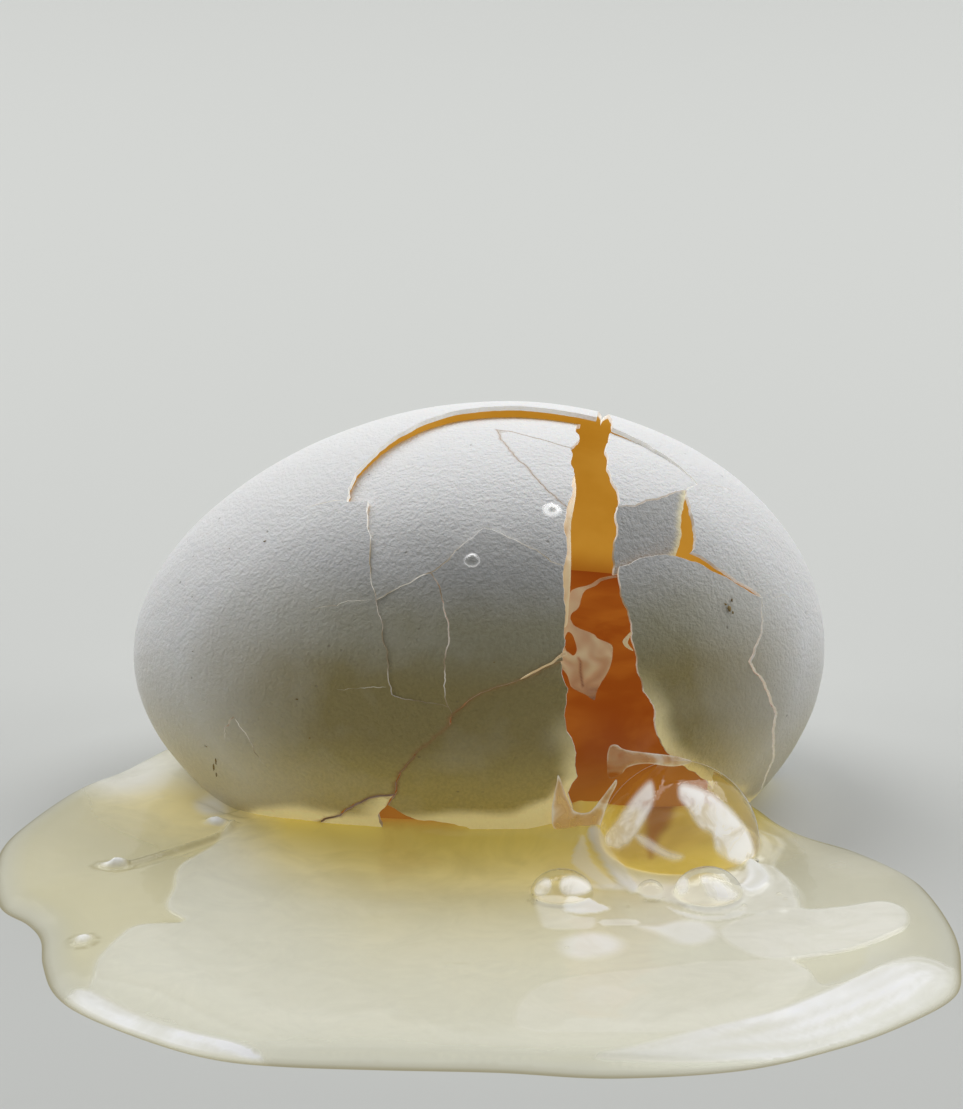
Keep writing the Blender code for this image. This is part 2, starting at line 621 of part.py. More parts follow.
def make_bubble(name, keep_off):
    """A bubble: a low dome on the pool, its foot following the pool's surface."""
    (cx, cy), radius, height = BUBBLES[name]
    spots, faces = [(cx, cy, 1.0)], []
    for ring in range(1, BUBBLE_RINGS + 1):
        share = sin(pi / 2.0 * ring / BUBBLE_RINGS)
        for i in range(BUBBLE_TURNS):
            heading = tau * i / BUBBLE_TURNS
            spots.append((cx + radius * share * cos(heading), cy + radius * share * sin(heading),
                          sqrt(max(0.0, 1.0 - share * share))))
            here, beside = 1 + i, 1 + (i + 1) % BUBBLE_TURNS
            if ring == 1:
                faces.append((0, here, beside))
            else:
                near, far = (ring - 2) * BUBBLE_TURNS, (ring - 1) * BUBBLE_TURNS
                faces.append((near + here, far + here, far + beside))
                faces.append((near + here, far + beside, near + beside))
    bottom = [Vector((x, y, pool_height(x, y) + CLEARANCE)) for x, y, share in spots]
    top = [low + Vector((0.0, 0.0, BUBBLE_RIM + height * share)) for low, (x, y, share) in zip(bottom, spots)]
    bubble = new_object(name, *slab(top, bottom, faces), FILM_CLEAR)
    if cy + radius > EGG_CENTRE.y - MAX_RADIUS:
        cut(bubble, keep_off)


# ---------------------------------------------------------------- building

def clear_scene():
    """Removes whatever the scene holds."""
    for thing in list(bpy.data.objects):
        bpy.data.objects.remove(thing, do_unlink=True)


clear_scene()
reach = 3.0 * HALF_LENGTH
table_cut = box_cutter("cut_table", (-reach, -reach, -reach), (reach, reach, 0.0))
egg_cut = cutter("cut_egg", *turned_egg(-CLEARANCE, CUT_STATIONS, CUT_TURNS))
make_main_shell(table_cut)
for plate_name in PLATES:
    make_plate(plate_name, table_cut)
make_skin()
make_inside(table_cut)
make_pool(egg_cut)
for bubble_name in BUBBLES:
    make_bubble(bubble_name, egg_cut)
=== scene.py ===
from math import acos, asin, cos, pi, radians, sin, tau
from random import Random

import bpy
import numpy as np
from mathutils import Matrix, Vector, noise
from mathutils.geometry import delaunay_2d_cdt


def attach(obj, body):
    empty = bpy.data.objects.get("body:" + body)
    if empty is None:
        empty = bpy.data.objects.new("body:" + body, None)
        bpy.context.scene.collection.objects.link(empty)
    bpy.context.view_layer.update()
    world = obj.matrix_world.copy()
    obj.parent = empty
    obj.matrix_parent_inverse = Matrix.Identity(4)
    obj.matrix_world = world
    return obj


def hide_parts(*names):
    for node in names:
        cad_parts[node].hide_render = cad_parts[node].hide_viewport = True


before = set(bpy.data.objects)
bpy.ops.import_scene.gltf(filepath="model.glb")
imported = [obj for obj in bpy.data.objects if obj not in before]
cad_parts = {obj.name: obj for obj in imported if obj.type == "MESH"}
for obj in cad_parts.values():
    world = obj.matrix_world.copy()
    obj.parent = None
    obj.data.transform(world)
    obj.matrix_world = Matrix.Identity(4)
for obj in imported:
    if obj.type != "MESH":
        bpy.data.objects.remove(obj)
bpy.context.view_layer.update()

# -------- the large piece of shell
# Both ends, the back and the top of a white hen's egg, still in one piece. The wall is calcite, full of fine
# pores. Pressed on the table it has crushed flat below and cracked open along jagged lines in front.

# Sizes are in millimetres until a mesh is made
MM = 0.001

# The egg's half length and greatest radius, how its ends differ from an ellipse's, its wall, its dents, and
# the scale at which its length is laid out flat
HALF_LENGTH, MAX_RADIUS = 30.8, 22
TAPER, SLIMNESS = 0.067, 0.054
WALL, RIM_CHIP = 0.4, 0.03
DENT_SIZE, DENT_HEIGHT = 4, 0.05
PROFILE = 0.88 * HALF_LENGTH

# Where the egg's middle stands, and the tilt that lifts its blunt end
EGG_CENTRE = np.array([0.7, 21, 12.5])
EGG_TILT = radians(1.5)
EGG_TURN = np.array(Matrix.Rotation(-EGG_TILT, 3, "Y"))

# Cracks between the pieces, as places (x along the egg from its middle, angle up from the front)
CRACKS = {
    "arc": ((-11, 62.3), (-10.9, 67), (-10.3, 72), (-9, 77), (-7.4, 83), (-5.1, 89), (-2.4, 94), (0.7, 96.5),
        (4.2, 98), (9.4, 97)),
    "top_right": ((9.4, 97), (11, 96.5)),
    "slot": ((11, 96.5), (11.1, 106), (11.5, 125), (12.1, 106), (12.3, 90.5)),
    "top_left": ((-11, 62.3), (-9.2, 61)),
    "left_upper": ((-9.2, 61), (-9, 48.7), (-8.6, 33.6)),
    "left_lower": ((-8.6, 33.6), (-8.1, 24.4), (-7.4, 10.9)),
    "across_left": ((-8.6, 33.6), (-5.7, 37), (-3.8, 39.2)),
    "across_right": ((-3.8, 39.2), (-2.2, 42), (-0.8, 46), (0.8, 49.5), (3.8, 46), (6.6, 41), (7.7, 40)),
    "middle": ((-3.8, 39.2), (-2.6, 29.5), (-2.3, 23.8), (-2.8, 18.2), (-2.5, 8)),
    "floor": ((-7.4, 10.9), (-5.1, 9.5), (-2.5, 8)),
    "floor_end": ((-2.5, 8), (-2.2, 6.3)),
    "lower": ((-2.2, 6.3), (-0.2, 10.2), (1, 11.5), (4.1, 14), (5.4, 15.7), (7.4, 18)),
    "lower_left": ((-2.2, 6.3), (-2.4, 3.7), (-5.3, -3), (-6.9, -8.9), (-7.4, -15.2)),
    "chip_top": ((-7.4, -15.2), (-8.8, -16.2), (-10.1, -18.4), (-12.3, -25.7), (-14.8, -33), (-15.5, -60),
        (-15.5, -90)),
    "chip_right": ((-7.4, -15.2), (-8.1, -19.1)),
    "chip_foot": ((-8.1, -19.1), (-8.9, -22.6), (-9.2, -60)),
    "lower_foot": ((-8.1, -19.1), (-5.5, -22.7), (-1.3, -24), (1, -30), (1.2, -60)),
    "flake_top": ((1.9, 86), (4.6, 82.5), (8.5, 78)),
    "flake_low": ((1.9, 86), (3.4, 74), (5.6, 64), (8.1, 56)),
    "gash_top": ((9.4, 97), (9.3, 84), (8.5, 78)),
    "gash_flake": ((8.5, 78), (8.5, 71.3), (8.8, 67.1), (8.1, 56)),
    "gash_upper": ((8.1, 56), (7.8, 50), (7.7, 40)),
    "gash_lower": ((7.7, 40), (7.7, 27.4), (7.4, 18)),
    "gash_foot": ((7.4, 18), (8, 10.8), (7.6, 4.5), (8.4, -3), (8.6, -11.1), (7.7, -15.5), (8.2, -24),
        (8.6, -60)),
    "cap_top": ((12.3, 90.5), (14.9, 87.2), (16.9, 83.2), (18.7, 78.4), (19.6, 75), (18.6, 69.8)),
    "cap_right": ((18.6, 69.8), (18.9, 61.5), (19.1, 49.3), (18.8, 47.9)),
    "cap_low": ((18.8, 47.9), (20, 46.8), (22.1, 43.4), (25, 38.3)),
    "end": ((25, 38.3), (25, 29.7), (24.6, 21.7), (23.8, 14.3), (24.2, 10.8), (25.5, -0.6), (26.1, -10.4),
        (25.9, -24.2), (25.1, -50), (24.2, -75), (24, -90)),
    "gash_right_top": ((12.3, 90.5), (11.8, 80.5), (11.8, 70.2), (12.5, 57.5)),
    "gash_right_mid": ((12.5, 57.5), (12.7, 50.6), (12.7, 39.8)),
    "gash_right_low": ((12.7, 39.8), (12.8, 34.8), (13.5, 28.9), (14, 20), (14.5, 12.5), (15.7, 4.2),
        (15.8, -0.7), (16.4, -7.3), (18, -14.7), (20.1, -24.2), (22.6, -41.5), (23, -90)),
    "crease": ((12.5, 57.5), (14, 58.5), (16.2, 63.2), (18.6, 69.8)),
    "sunk_right": ((18.6, 69.8), (18.3, 61), (18.1, 48), (17.4, 45)),
    "shoulder": ((12.7, 39.8), (14.5, 42.7), (15.8, 44.2), (17.4, 45)),
    "sunk_top": ((17.4, 45), (19.2, 44.6), (20.6, 42.9), (22.9, 40.6), (25, 38.3)),
    "under": ((24, -90), (-15.5, -90)),
}

# How far each side of a crack stands back from its line; most are hairlines
OPEN_BY = {
    "left_upper": 0.018, "left_lower": 0.018, "middle": 0.012, "flake_top": 0.012, "flake_low": 0.02,
    "crease": 0.01, "end": 0.026, "shoulder": 0.015, "lower": 0.14, "lower_left": 0.08, "chip_top": 0.08,
    "chip_right": 0.1, "chip_foot": 0.1, "gash_foot": 0.1,
}
HAIRLINE = 0.016

# Cracks whose rims are stained brown or darkened with painted shade, and how much; the outer face beside them
# darkens as well
STAINED_OR_SHADED = {
    "flake_top": 0.45, "flake_low": 0.55, "crease": 0.32, "floor": 0.25, "lower": 0.85, "lower_left": 0.78,
    "chip_top": 0.7, "chip_right": 0.65, "left_lower": 0.2, "middle": 0.12,
}

# Hairlines in the large piece, and half the width of each
HAIRLINES = {
    "beside_arch": (((-15, 65.4), (-13.2, 64.2), (-11.3, 63)), 0.03),
    "across_upper": (((-14.6, 32.4), (-12, 33), (-11, 34.1), (-8.9, 33.9)), 0.022),
    "across_lower": (((-12.2, 11.8), (-9.4, 12.6), (-7.8, 12.7)), 0.015),
    "left_caret": (((-22.3, -11.2), (-22.3, -6.7), (-21.4, -0.4), (-20.3, -5.9), (-18.4, -16.4)), 0.055),
    "from_cap": (((19.9, 75.4), (21.1, 79.4), (23.8, 85.4)), 0.02),
    "at_end": (((25.4, 38), (27, 43.6), (28.2, 42), (29.3, 38.4), (30.1, 32.5)), 0.032),
}


def flat_place(x, angle):
    """A place on the shell laid out flat at about true size."""
    return Vector((acos(max(-1, min(1, -x / HALF_LENGTH))) * PROFILE, radians(angle) * MAX_RADIUS))


def on_egg(flat, depth=0):
    """Flat points wrapped on the egg and moved inwards by depth, in the egg's own frame."""
    t, a = flat[:, 0] / PROFILE, flat[:, 1] / MAX_RADIUS
    c, s = np.cos(t), np.sin(t)
    bulge = 1 - TAPER * c - SLIMNESS * c * c
    run, rise = HALF_LENGTH * s, MAX_RADIUS * (c * bulge + s * s * (TAPER + 2 * SLIMNESS * c))
    size = np.hypot(run, rise)
    x = -HALF_LENGTH * c + depth * rise / size
    r = MAX_RADIUS * s * bulge - depth * run / size
    return np.stack([x, -r * np.cos(a), r * np.sin(a)], axis=1)


def stand(points):
    """Points in the egg's own frame turned and moved to where the egg lies."""
    return points @ EGG_TURN.T + EGG_CENTRE


def shell_face(flat, depth=0):
    """Flat points on the shell's slightly dented outer face, moved inwards by depth."""
    return on_egg(flat, depth - relief(flat, DENT_SIZE, DENT_HEIGHT))


def jagged(name, places, step=0.4, stray=0.07):
    """A crack's flat route, halved again and again with a little sideways stray, as brittle shell breaks."""
    chance = Random(name)

    def halved(a, b):
        if (b - a).length < step:
            return [a]
        middle = (a + b) / 2 + Vector((a.y - b.y, b.x - a.x)) * chance.uniform(-stray, stray)
        return halved(a, middle) + halved(middle, b)

    route = [flat_place(*p) for p in places]
    return [p for a, b in zip(route, route[1:]) for p in halved(a, b)] + route[-1:]


STRAIGHTER = {"slot": 0.02}
ROUTES = {name: jagged(name, places, stray=STRAIGHTER.get(name, 0.07)) for name, places in CRACKS.items()}


def sideways(ahead, least=1e-9):
    """The unit directions to the left of the given ones, shorter where those are under the least length."""
    ahead = ahead / np.maximum(least, np.linalg.norm(ahead, axis=1, keepdims=True))
    return np.stack([-ahead[:, 1], ahead[:, 0]], axis=1)


def outline(names, side):
    """A closed flat loop along the named cracks, a minus sign meaning backwards. It stands back from each
    crack's line, into its own area if side is 1 and out of it if side is -1."""
    loop, back = [], []
    for name in names:
        key = name.lstrip("-")
        route = ROUTES[key][::-1] if name.startswith("-") else ROUTES[key]
        loop += route[:-1]
        back += [OPEN_BY.get(key, HAIRLINE)] * (len(route) - 1)
    loop = np.array(loop)
    back = np.minimum(back, np.roll(back, 1))
    ahead = np.roll(loop, -1, axis=0) - loop
    ahead /= np.linalg.norm(ahead, axis=1, keepdims=True)
    area = np.sum(loop[:, 0] * np.roll(loop[:, 1], -1) - np.roll(loop[:, 0], -1) * loop[:, 1])
    across = sideways(ahead + np.roll(ahead, 1, axis=0), 0.3) * np.sign(area) * side
    return loop + across * back[:, None]


def within(points, loop):
    """Which flat points lie inside a closed loop."""
    x, y = points[:, 0], points[:, 1]
    found = np.zeros(len(points), dtype=bool)
    for (x1, y1), (x2, y2) in zip(loop, np.roll(loop, -1, axis=0)):
        if y1 != y2:
            found ^= ((y1 > y) != (y2 > y)) & (x < (x2 - x1) * (y - y1) / (y2 - y1) + x1)
    return found


def off_line(points, line, closed=True):
    """The distance from each flat point to a line's nearest segment."""
    best = np.full(len(points), 1e9)
    line = np.array(line)
    for a, b in zip(line, np.roll(line, -1, axis=0) if closed else line[1:]):
        run = b - a
        along = unit(((points - a) @ run) / max(1e-12, run @ run))
        best = np.minimum(best, np.linalg.norm(points - a - along[:, None] * run, axis=1))
    return best


def staggered(loop, pitch, room=0.5):
    """Flat points in staggered rows inside a loop, clear of its edge by a share of their pitch."""
    low, high = loop.min(axis=0), loop.max(axis=0)
    spots = np.array([(x + (pitch / 2 if i % 2 else 0), y)
                      for i, y in enumerate(np.arange(low[1], high[1], pitch * 0.87))
                      for x in np.arange(low[0], high[0], pitch)])
    spots = spots[within(spots, loop)]
    return spots[off_line(spots, loop) > room * pitch]


def triangles(outer, holes, fill):
    """Triangles over a flat area with holes, through the fill points: the points and the faces."""
    points, edges = [], []
    for loop in [outer] + holes:
        first = len(points)
        points += [Vector(p) for p in loop]
        edges += [(first + i, first + (i + 1) % len(loop)) for i in range(len(loop))]
    points += [Vector(p) for p in fill]
    flat, _, faces, _, _, _ = delaunay_2d_cdt(points, edges, [], 0, 1e-6)
    flat, faces = np.array(flat), np.array(faces)
    middles = flat[faces].mean(axis=1)
    kept = within(middles, outer)
    for hole in holes:
        kept &= ~within(middles, hole)
    return flat, faces[kept]


def relief(points, size, height, seed=0):
    """A soft random height for each point, flat or not, for humps of about the given size."""
    return height * np.array([noise.noise(Vector((*p, 0)[:3]) / size + Vector((seed, 0, 0)))
                              for p in points])


def mesh_piece(name, points, faces, materials, values=None):
    """A new object from points in millimetres and faces, with named values stored on its points."""
    mesh = bpy.data.meshes.new(name)
    mesh.from_pydata(points * MM, [], [tuple(int(i) for i in face) for face in faces])
    for key, each in (values or {}).items():
        stored = mesh.attributes.new(key, "FLOAT", "POINT")
        stored.data.foreach_set("value", np.asarray(each, dtype=np.float32))
    for material in materials:
        mesh.materials.append(material)
    piece = bpy.data.objects.new(name, mesh)
    bpy.context.collection.objects.link(piece)
    return piece


def pick(piece):
    """Makes a piece the only one selected, and the active one."""
    bpy.ops.object.select_all(action="DESELECT")
    piece.select_set(True)
    bpy.context.view_layer.objects.active = piece


def smooth(piece, angle):
    """Shades a piece smooth, but for edges sharper than an angle in degrees."""
    pick(piece)
    bpy.ops.object.shade_smooth_by_angle(angle=radians(angle))


def merge_close(piece, distance, cut_at=None):
    """Merges points closer than a distance, and cuts the piece off level at a height if one is given."""
    pick(piece)
    bpy.ops.object.mode_set(mode="EDIT")
    bpy.ops.mesh.select_all(action="SELECT")
    bpy.ops.mesh.remove_doubles(threshold=distance * MM)
    if cut_at is not None:
        bpy.ops.mesh.select_all(action="SELECT")
        bpy.ops.mesh.bisect(plane_co=(0, 0, cut_at * MM), plane_no=(0, 0, 1), clear_inner=True)
    bpy.ops.object.mode_set(mode="OBJECT")


def give_wall(piece, wall, chamfer, angle=40):
    """Turns a thin sheet into a wall with a finely chipped rim: outside, inside and rim in material slots
    1, 2 and 3."""
    pick(piece)
    solid = piece.modifiers.new("wall", "SOLIDIFY")
    solid.thickness = wall * MM
    solid.offset = -1
    solid.material_offset, solid.material_offset_rim = 1, 2
    bpy.ops.object.modifier_apply(modifier=solid.name)
    if chamfer:
        chip = piece.modifiers.new("chipped rim", "BEVEL")
        chip.width, chip.segments, chip.material = chamfer * MM, 1, 2
        chip.limit_method, chip.angle_limit = "ANGLE", radians(65)
        bpy.ops.object.modifier_apply(modifier=chip.name)
    smooth(piece, angle)


class Shades:
    """The shader nodes of a material or a world. Each method adds nodes and gives back what comes out."""

    def __init__(self, owner):
        owner.use_nodes = True
        self.owner, self.tree, self.nodes = owner, owner.node_tree, owner.node_tree.nodes

    def feed(self, made, inputs):
        """Sets a node's inputs to values, or links them to sockets."""
        for key, value in inputs.items():
            socket = made.inputs[key]
            if isinstance(value, bpy.types.NodeSocket):
                self.tree.links.new(value, socket)
            else:
                socket.default_value = (*value, 1) if socket.type == "RGBA" else value

    def add(self, kind, inputs=None, **settings):
        made = self.nodes.new("ShaderNode" + kind)
        for key, value in settings.items():
            setattr(made, key, value)
        self.feed(made, inputs or {})
        return made.outputs

    def place(self):
        """The place on the object in metres."""
        made = self.nodes.get("Texture Coordinate") or self.nodes.new("ShaderNodeTexCoord")
        return made.outputs["Object"]

    def axes(self):
        return self.add("SeparateXYZ", {0: self.place()})

    def noise(self, scale, detail, **more):
        return self.add("TexNoise", {"Vector": self.place(), "Scale": scale, "Detail": detail, **more})[0]

    def stored(self, name):
        """A value stored on the piece's points."""
        return self.add("Attribute", attribute_name=name)["Fac"]

    def math(self, how, first, second):
        return self.add("Math", {0: first, 1: second}, operation=how)[0]

    def plus(self, first, second):
        return self.math("ADD", first, second)

    def times(self, first, second):
        return self.math("MULTIPLY", first, second)

    def ranged(self, value, low, high, first=0, last=1):
        """A value mapped smoothly from one range to another."""
        return self.add("MapRange", {0: value, 1: low, 2: high, 3: first, 4: last},
                        interpolation_type="SMOOTHSTEP")[0]

    def blend(self, share, first, second):
        """A colour between two, by a share."""
        return self.add("Mix", {0: share, 6: first, 7: second}, data_type="RGBA")[2]

    def bump(self, height, strength, distance):
        return self.add("Bump", {"Height": height, "Strength": strength, "Distance": distance})[0]

    def mix(self, share, first, second):
        """A shader between two."""
        return self.add("MixShader", {0: share, 1: first, 2: second})[0]

    def gloss(self, roughness, **more):
        return self.add("BsdfGlossy", {"Roughness": roughness, **more})[0]

    def edge_on(self, refraction, **more):
        """How strongly a clear surface mirrors: most where it is seen edge on."""
        return self.add("Fresnel", {"IOR": refraction, **more})[0]

    def matt_with_glow(self, colour, lit, strength):
        """A matt shader that glows by emission in a second colour: a painted glow, for white full of daylight
        and for painted highlights.
        """
        glow = self.add("Emission", {"Color": lit, "Strength": strength})[0]
        return self.add("AddShader", {0: self.add("BsdfDiffuse", {"Color": colour})[0], 1: glow})[0]

    def clear(self, colour):
        return self.add("BsdfTransparent", {"Color": colour})[0]

    def surface(self, shader):
        """The finished material with a shader as its surface."""
        self.feed(self.nodes["Material Output"], {"Surface": shader})
        return self.owner

    def solid(self, colour, roughness, glow=None, **more):
        """The finished material of a solid, glowing in its own colour by a strength if one is given."""
        inputs = {"Base Color": colour, "Roughness": roughness}
        if glow is not None:
            inputs.update({"Emission Color": colour, "Emission Strength": glow})
        inputs.update({key.replace("_", " "): value for key, value in more.items()})
        self.feed(self.nodes["Principled BSDF"], inputs)
        return self.owner

    def film(self, shader, shadow):
        """The finished material of a clear liquid, whose shadow is only a faint tint."""
        self.nodes.remove(self.nodes["Principled BSDF"])
        return self.surface(self.mix(self.add("LightPath")["Is Shadow Ray"], shader, self.clear(shadow)))


def new_material(name):
    return Shades(bpy.data.materials.new(name))


# The white outside: orange-peel relief and pin pores; darker in front, where painted shade turns it grey
# higher up and olive lower down, with raw egg also showing through the damp wall; and cream near the foot and
# some cracks, where white has soaked it and a painted glow lights it
SHELL_WHITE, PAINTED_SHADE_TOP, DAMP_AND_SHADE_GRAIN = (0.82, 0.82, 0.82), (0.41, 0.41, 0.405), (0.16, 0.14, 0.08)
SOAKED_LIT_LEFT, SOAKED_LIT_RIGHT, SOAK_PAINTED_GLOW = (0.93, 0.89, 0.7), (0.89, 0.8, 0.5), (0.66, 0.56, 0.27)
STAIN_OR_SHADE, PORE, BLACK = (0.34, 0.205, 0.085), (0.2, 0.17, 0.12), (0, 0, 0)
DAMP_AND_SHADE_LEVELS = ((0.0215, 0.0265, (0.375, 0.35, 0.24)), (0.0165, 0.0215, (0.33, 0.268, 0.105)),
               (0.006, 0.013, (0.56, 0.46, 0.17)))
m = new_material("shell_white")
grain, humps, broad = m.noise(3300, 2, Roughness=0.6), m.noise(1700, 3), m.noise(130, 3)
along, _, high = m.axes()
# The dark colour: grey high up, olive lower and lighter yellow near the table; painted shade mixed with the
# raw egg that shows through
damp_and_shade_colour = PAINTED_SHADE_TOP
for low, top, below in DAMP_AND_SHADE_LEVELS:
    damp_and_shade_colour = m.blend(m.ranged(high, low, top), below, damp_and_shade_colour)
damp_and_shade_colour = m.blend(m.ranged(grain, 0.35, 0.65, 0, 0.16), damp_and_shade_colour, DAMP_AND_SHADE_GRAIN)
damp_and_shade, soak_and_glow = m.times(m.stored("damp_and_shade"), m.ranged(broad, 0.2, 0.8, 0.85, 1.15)), m.stored("soak_and_glow")
colour = m.blend(soak_and_glow, m.blend(damp_and_shade, SHELL_WHITE, damp_and_shade_colour),
                 m.blend(m.ranged(along, -0.02, -0.006), SOAKED_LIT_LEFT, SOAKED_LIT_RIGHT))
colour = m.blend(m.ranged(m.stored("stain_or_shade"), 0.3, 0.75, 0, 0.85), colour, STAIN_OR_SHADE)
pores = m.add("TexVoronoi", {"Vector": m.place(), "Scale": 900})
pin = m.times(m.ranged(pores["Distance"], 0.16, 0.06),
              m.ranged(m.add("SeparateColor", {0: pores["Color"]})[0], 0.9, 0.99))
skin = m.math("SUBTRACT", m.plus(m.times(grain, 0.85), m.times(humps, 0.75)), m.times(pin, 0.5))
# The soaked cream also glows by emission: a painted glow
shell_white = m.solid(m.blend(m.times(pin, 0.45), colour, PORE), m.ranged(grain, 0.3, 0.7, 0.5, 0.68),
                      Normal=m.bump(skin, 1, 0.00013), Subsurface_Weight=0.08,
                      Subsurface_Radius=(0.0008, 0.0005, 0.0003), Emission_Strength=0.28,
                      Emission_Color=m.blend(soak_and_glow, BLACK, SOAK_PAINTED_GLOW))

# The inside: lined with wet skin; its gold and its emission glow are painted light, standing for the daylight
# that comes through the thin wall
GOLD, BRIGHT_GOLD, WETTED_GOLD = (0.4, 0.212, 0.018), (0.49, 0.295, 0.042), (0.27, 0.1, 0.01)
m = new_material("shell_inside")
colour = m.blend(m.ranged(m.noise(90, 4), 0.3, 0.7), GOLD, BRIGHT_GOLD)
colour = m.blend(m.ranged(m.axes()["Z"], 0.0112, 0.0146), WETTED_GOLD, colour)
shell_inside = m.solid(colour, 0.38, 0.66, Normal=m.bump(m.noise(900, 2), 0.4, 0.00004))

# The broken rim: pale calcite, stained brown or darkened with painted shade along some cracks, with more
# painted shade in patches low down away from the right end, and a painted glow that grows towards the top
CREAM_RIM, WHITE_RIM = (0.84, 0.81, 0.73), (0.9, 0.89, 0.86)
SHADED_RIM, STAINED_OR_SHADED_RIM = (0.38, 0.3, 0.17), (0.24, 0.115, 0.04)
m = new_material("shell_rim")
crumbs = m.noise(4200, 2)
colour = m.blend(m.ranged(crumbs, 0.35, 0.65), CREAM_RIM, WHITE_RIM)
along, _, high = m.axes()
shaded = m.times(m.ranged(m.noise(380, 2), 0.42, 0.6, 0.05, 0.85), m.ranged(high, 0.03, 0.0265))
shaded = m.times(shaded, m.ranged(along, 0.024, 0.0225))
colour = m.blend(m.stored("stain_or_shade"), m.blend(shaded, colour, SHADED_RIM), STAINED_OR_SHADED_RIM)
shell_rim = m.solid(colour, 0.6, m.ranged(high, 0.0265, 0.031, 0.12, 0.26),
                    Normal=m.bump(crumbs, 0.6, 0.00006))


def sliver(name, places, half):
    """A hairline crack as a narrow flat hole that closes to a point at both ends."""
    line = np.array(jagged(name, places, 0.35, 0.1))
    share = np.linspace(0, 1, len(line))
    width = half * np.minimum(1, 5 * np.minimum(share, 1 - share))
    across = sideways(np.gradient(line, axis=0)) * width[:, None]
    return np.concatenate([line + across, (line - across)[::-1][1:-1]])


def unit(values):
    """Values kept from 0 to 1."""
    return np.clip(values, 0, 1)


def eased(values):
    """Values kept from 0 to 1, flat at both ends."""
    return unit(values) ** 2 * (3 - 2 * unit(values))


def near(flat, names, reach):
    """How near flat points lie to the named cracks: 1 on them, fading to 0 at a distance."""
    return eased(1 - np.min([off_line(flat, ROUTES[name], False) for name in names], axis=0) / reach)


def foot_soak_and_glow(points):
    """How cream a shell is near the table, where white has soaked in and a painted glow lights it: 1 below,
    fading upwards.
    """
    level = np.interp(points[:, 0], (-21.5, -19, -15, -2, 4, 6.5, 8.5, 12, 20, 25),
                      (-1, 2.6, 4.2, 5.4, 5.8, 7, 9.5, 7, 4.6, 2))
    share = unit((level + relief(points, 3, 0.4, 4) - points[:, 2]) / 0.9)
    return 0.9 * (share * (points[:, 1] < EGG_CENTRE[1]))


def damp_and_shade_share(points):
    """How dark the wall is: painted shade together with raw egg showing through, most low down in front,
    little at the ends and behind.
    """
    nearer = np.interp(points[:, 0], (-23, -14, -6, 8, 16, 24), (0.5, 0.7, 0.9, 1, 3, 2.5))
    front = unit((11.2 + nearer - points[:, 1]) / 10.2)
    low = unit((34 - points[:, 2]) / 6)
    foot = 0.52 * unit((16.5 - points[:, 2]) / 12)
    foot *= unit((22 - points[:, 1]) / 6)
    return unit(np.maximum(front * low, foot))


def shell_piece(name, flat, faces, points, soak_and_glow, damp_and_shade):
    """A piece of shell with its wall, cut off level with the table if it reaches that far down."""
    stain_or_shade = np.max([much * near(flat, (crack,), 0.5) for crack, much in STAINED_OR_SHADED.items()], axis=0)
    piece = mesh_piece(name, points, faces, (shell_white, shell_inside, shell_rim),
                       {"soak_and_glow": soak_and_glow, "damp_and_shade": damp_and_shade, "stain_or_shade": stain_or_shade})
    if points[:, 2].min() < 0.1:
        merge_close(piece, 0.004, 0.03)
    give_wall(piece, WALL, RIM_CHIP)
    return piece


# The whole egg laid out flat, seam underneath, with staggered points
SEAM = (radians(-125) * MAX_RADIUS, radians(235) * MAX_RADIUS)
ROWS, ROW_PITCH = 150, 0.62
CLEAR_OF_OPENING, CLEAR_OF_HAIRLINE = 0.3, 0.25
opening = outline(("arc", "top_right", "slot", "cap_top", "cap_right", "cap_low", "end", "under", "-chip_top",
                   "-lower_left", "-floor_end", "-floor", "-left_lower", "-left_upper", "-top_left"), -1)
slivers = [sliver(name, places, half) for name, (places, half) in HAIRLINES.items()]
spots = []
for row in range(1, ROWS):
    t = pi * row / ROWS
    turns = max(6, round(tau * MAX_RADIUS * sin(t) / ROW_PITCH))
    around = SEAM[0] + (SEAM[1] - SEAM[0]) * (np.arange(turns) + (0.5 if row % 2 else 0)) / turns
    spots += [(t * PROFILE, v) for v in around if SEAM[0] + 0.05 < v < SEAM[1] - 0.05]
    spots += [(t * PROFILE, SEAM[0]), (t * PROFILE, SEAM[1])]
spots = np.array(spots)
free = ~within(spots, opening) & (off_line(spots, opening) > CLEAR_OF_OPENING)
for hole in slivers:
    free &= off_line(spots, hole) > CLEAR_OF_HAIRLINE
corners = np.array([(0, SEAM[0]), (pi * PROFILE, SEAM[0]), (pi * PROFILE, SEAM[1]), (0, SEAM[1])])
flat, faces = triangles(corners, [opening] + slivers, spots[free])
points = stand(shell_face(flat))
main_shell = shell_piece("shell_large", flat, faces, points, foot_soak_and_glow(points), damp_and_shade_share(points))
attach(main_shell, "root")
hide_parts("main_shell")
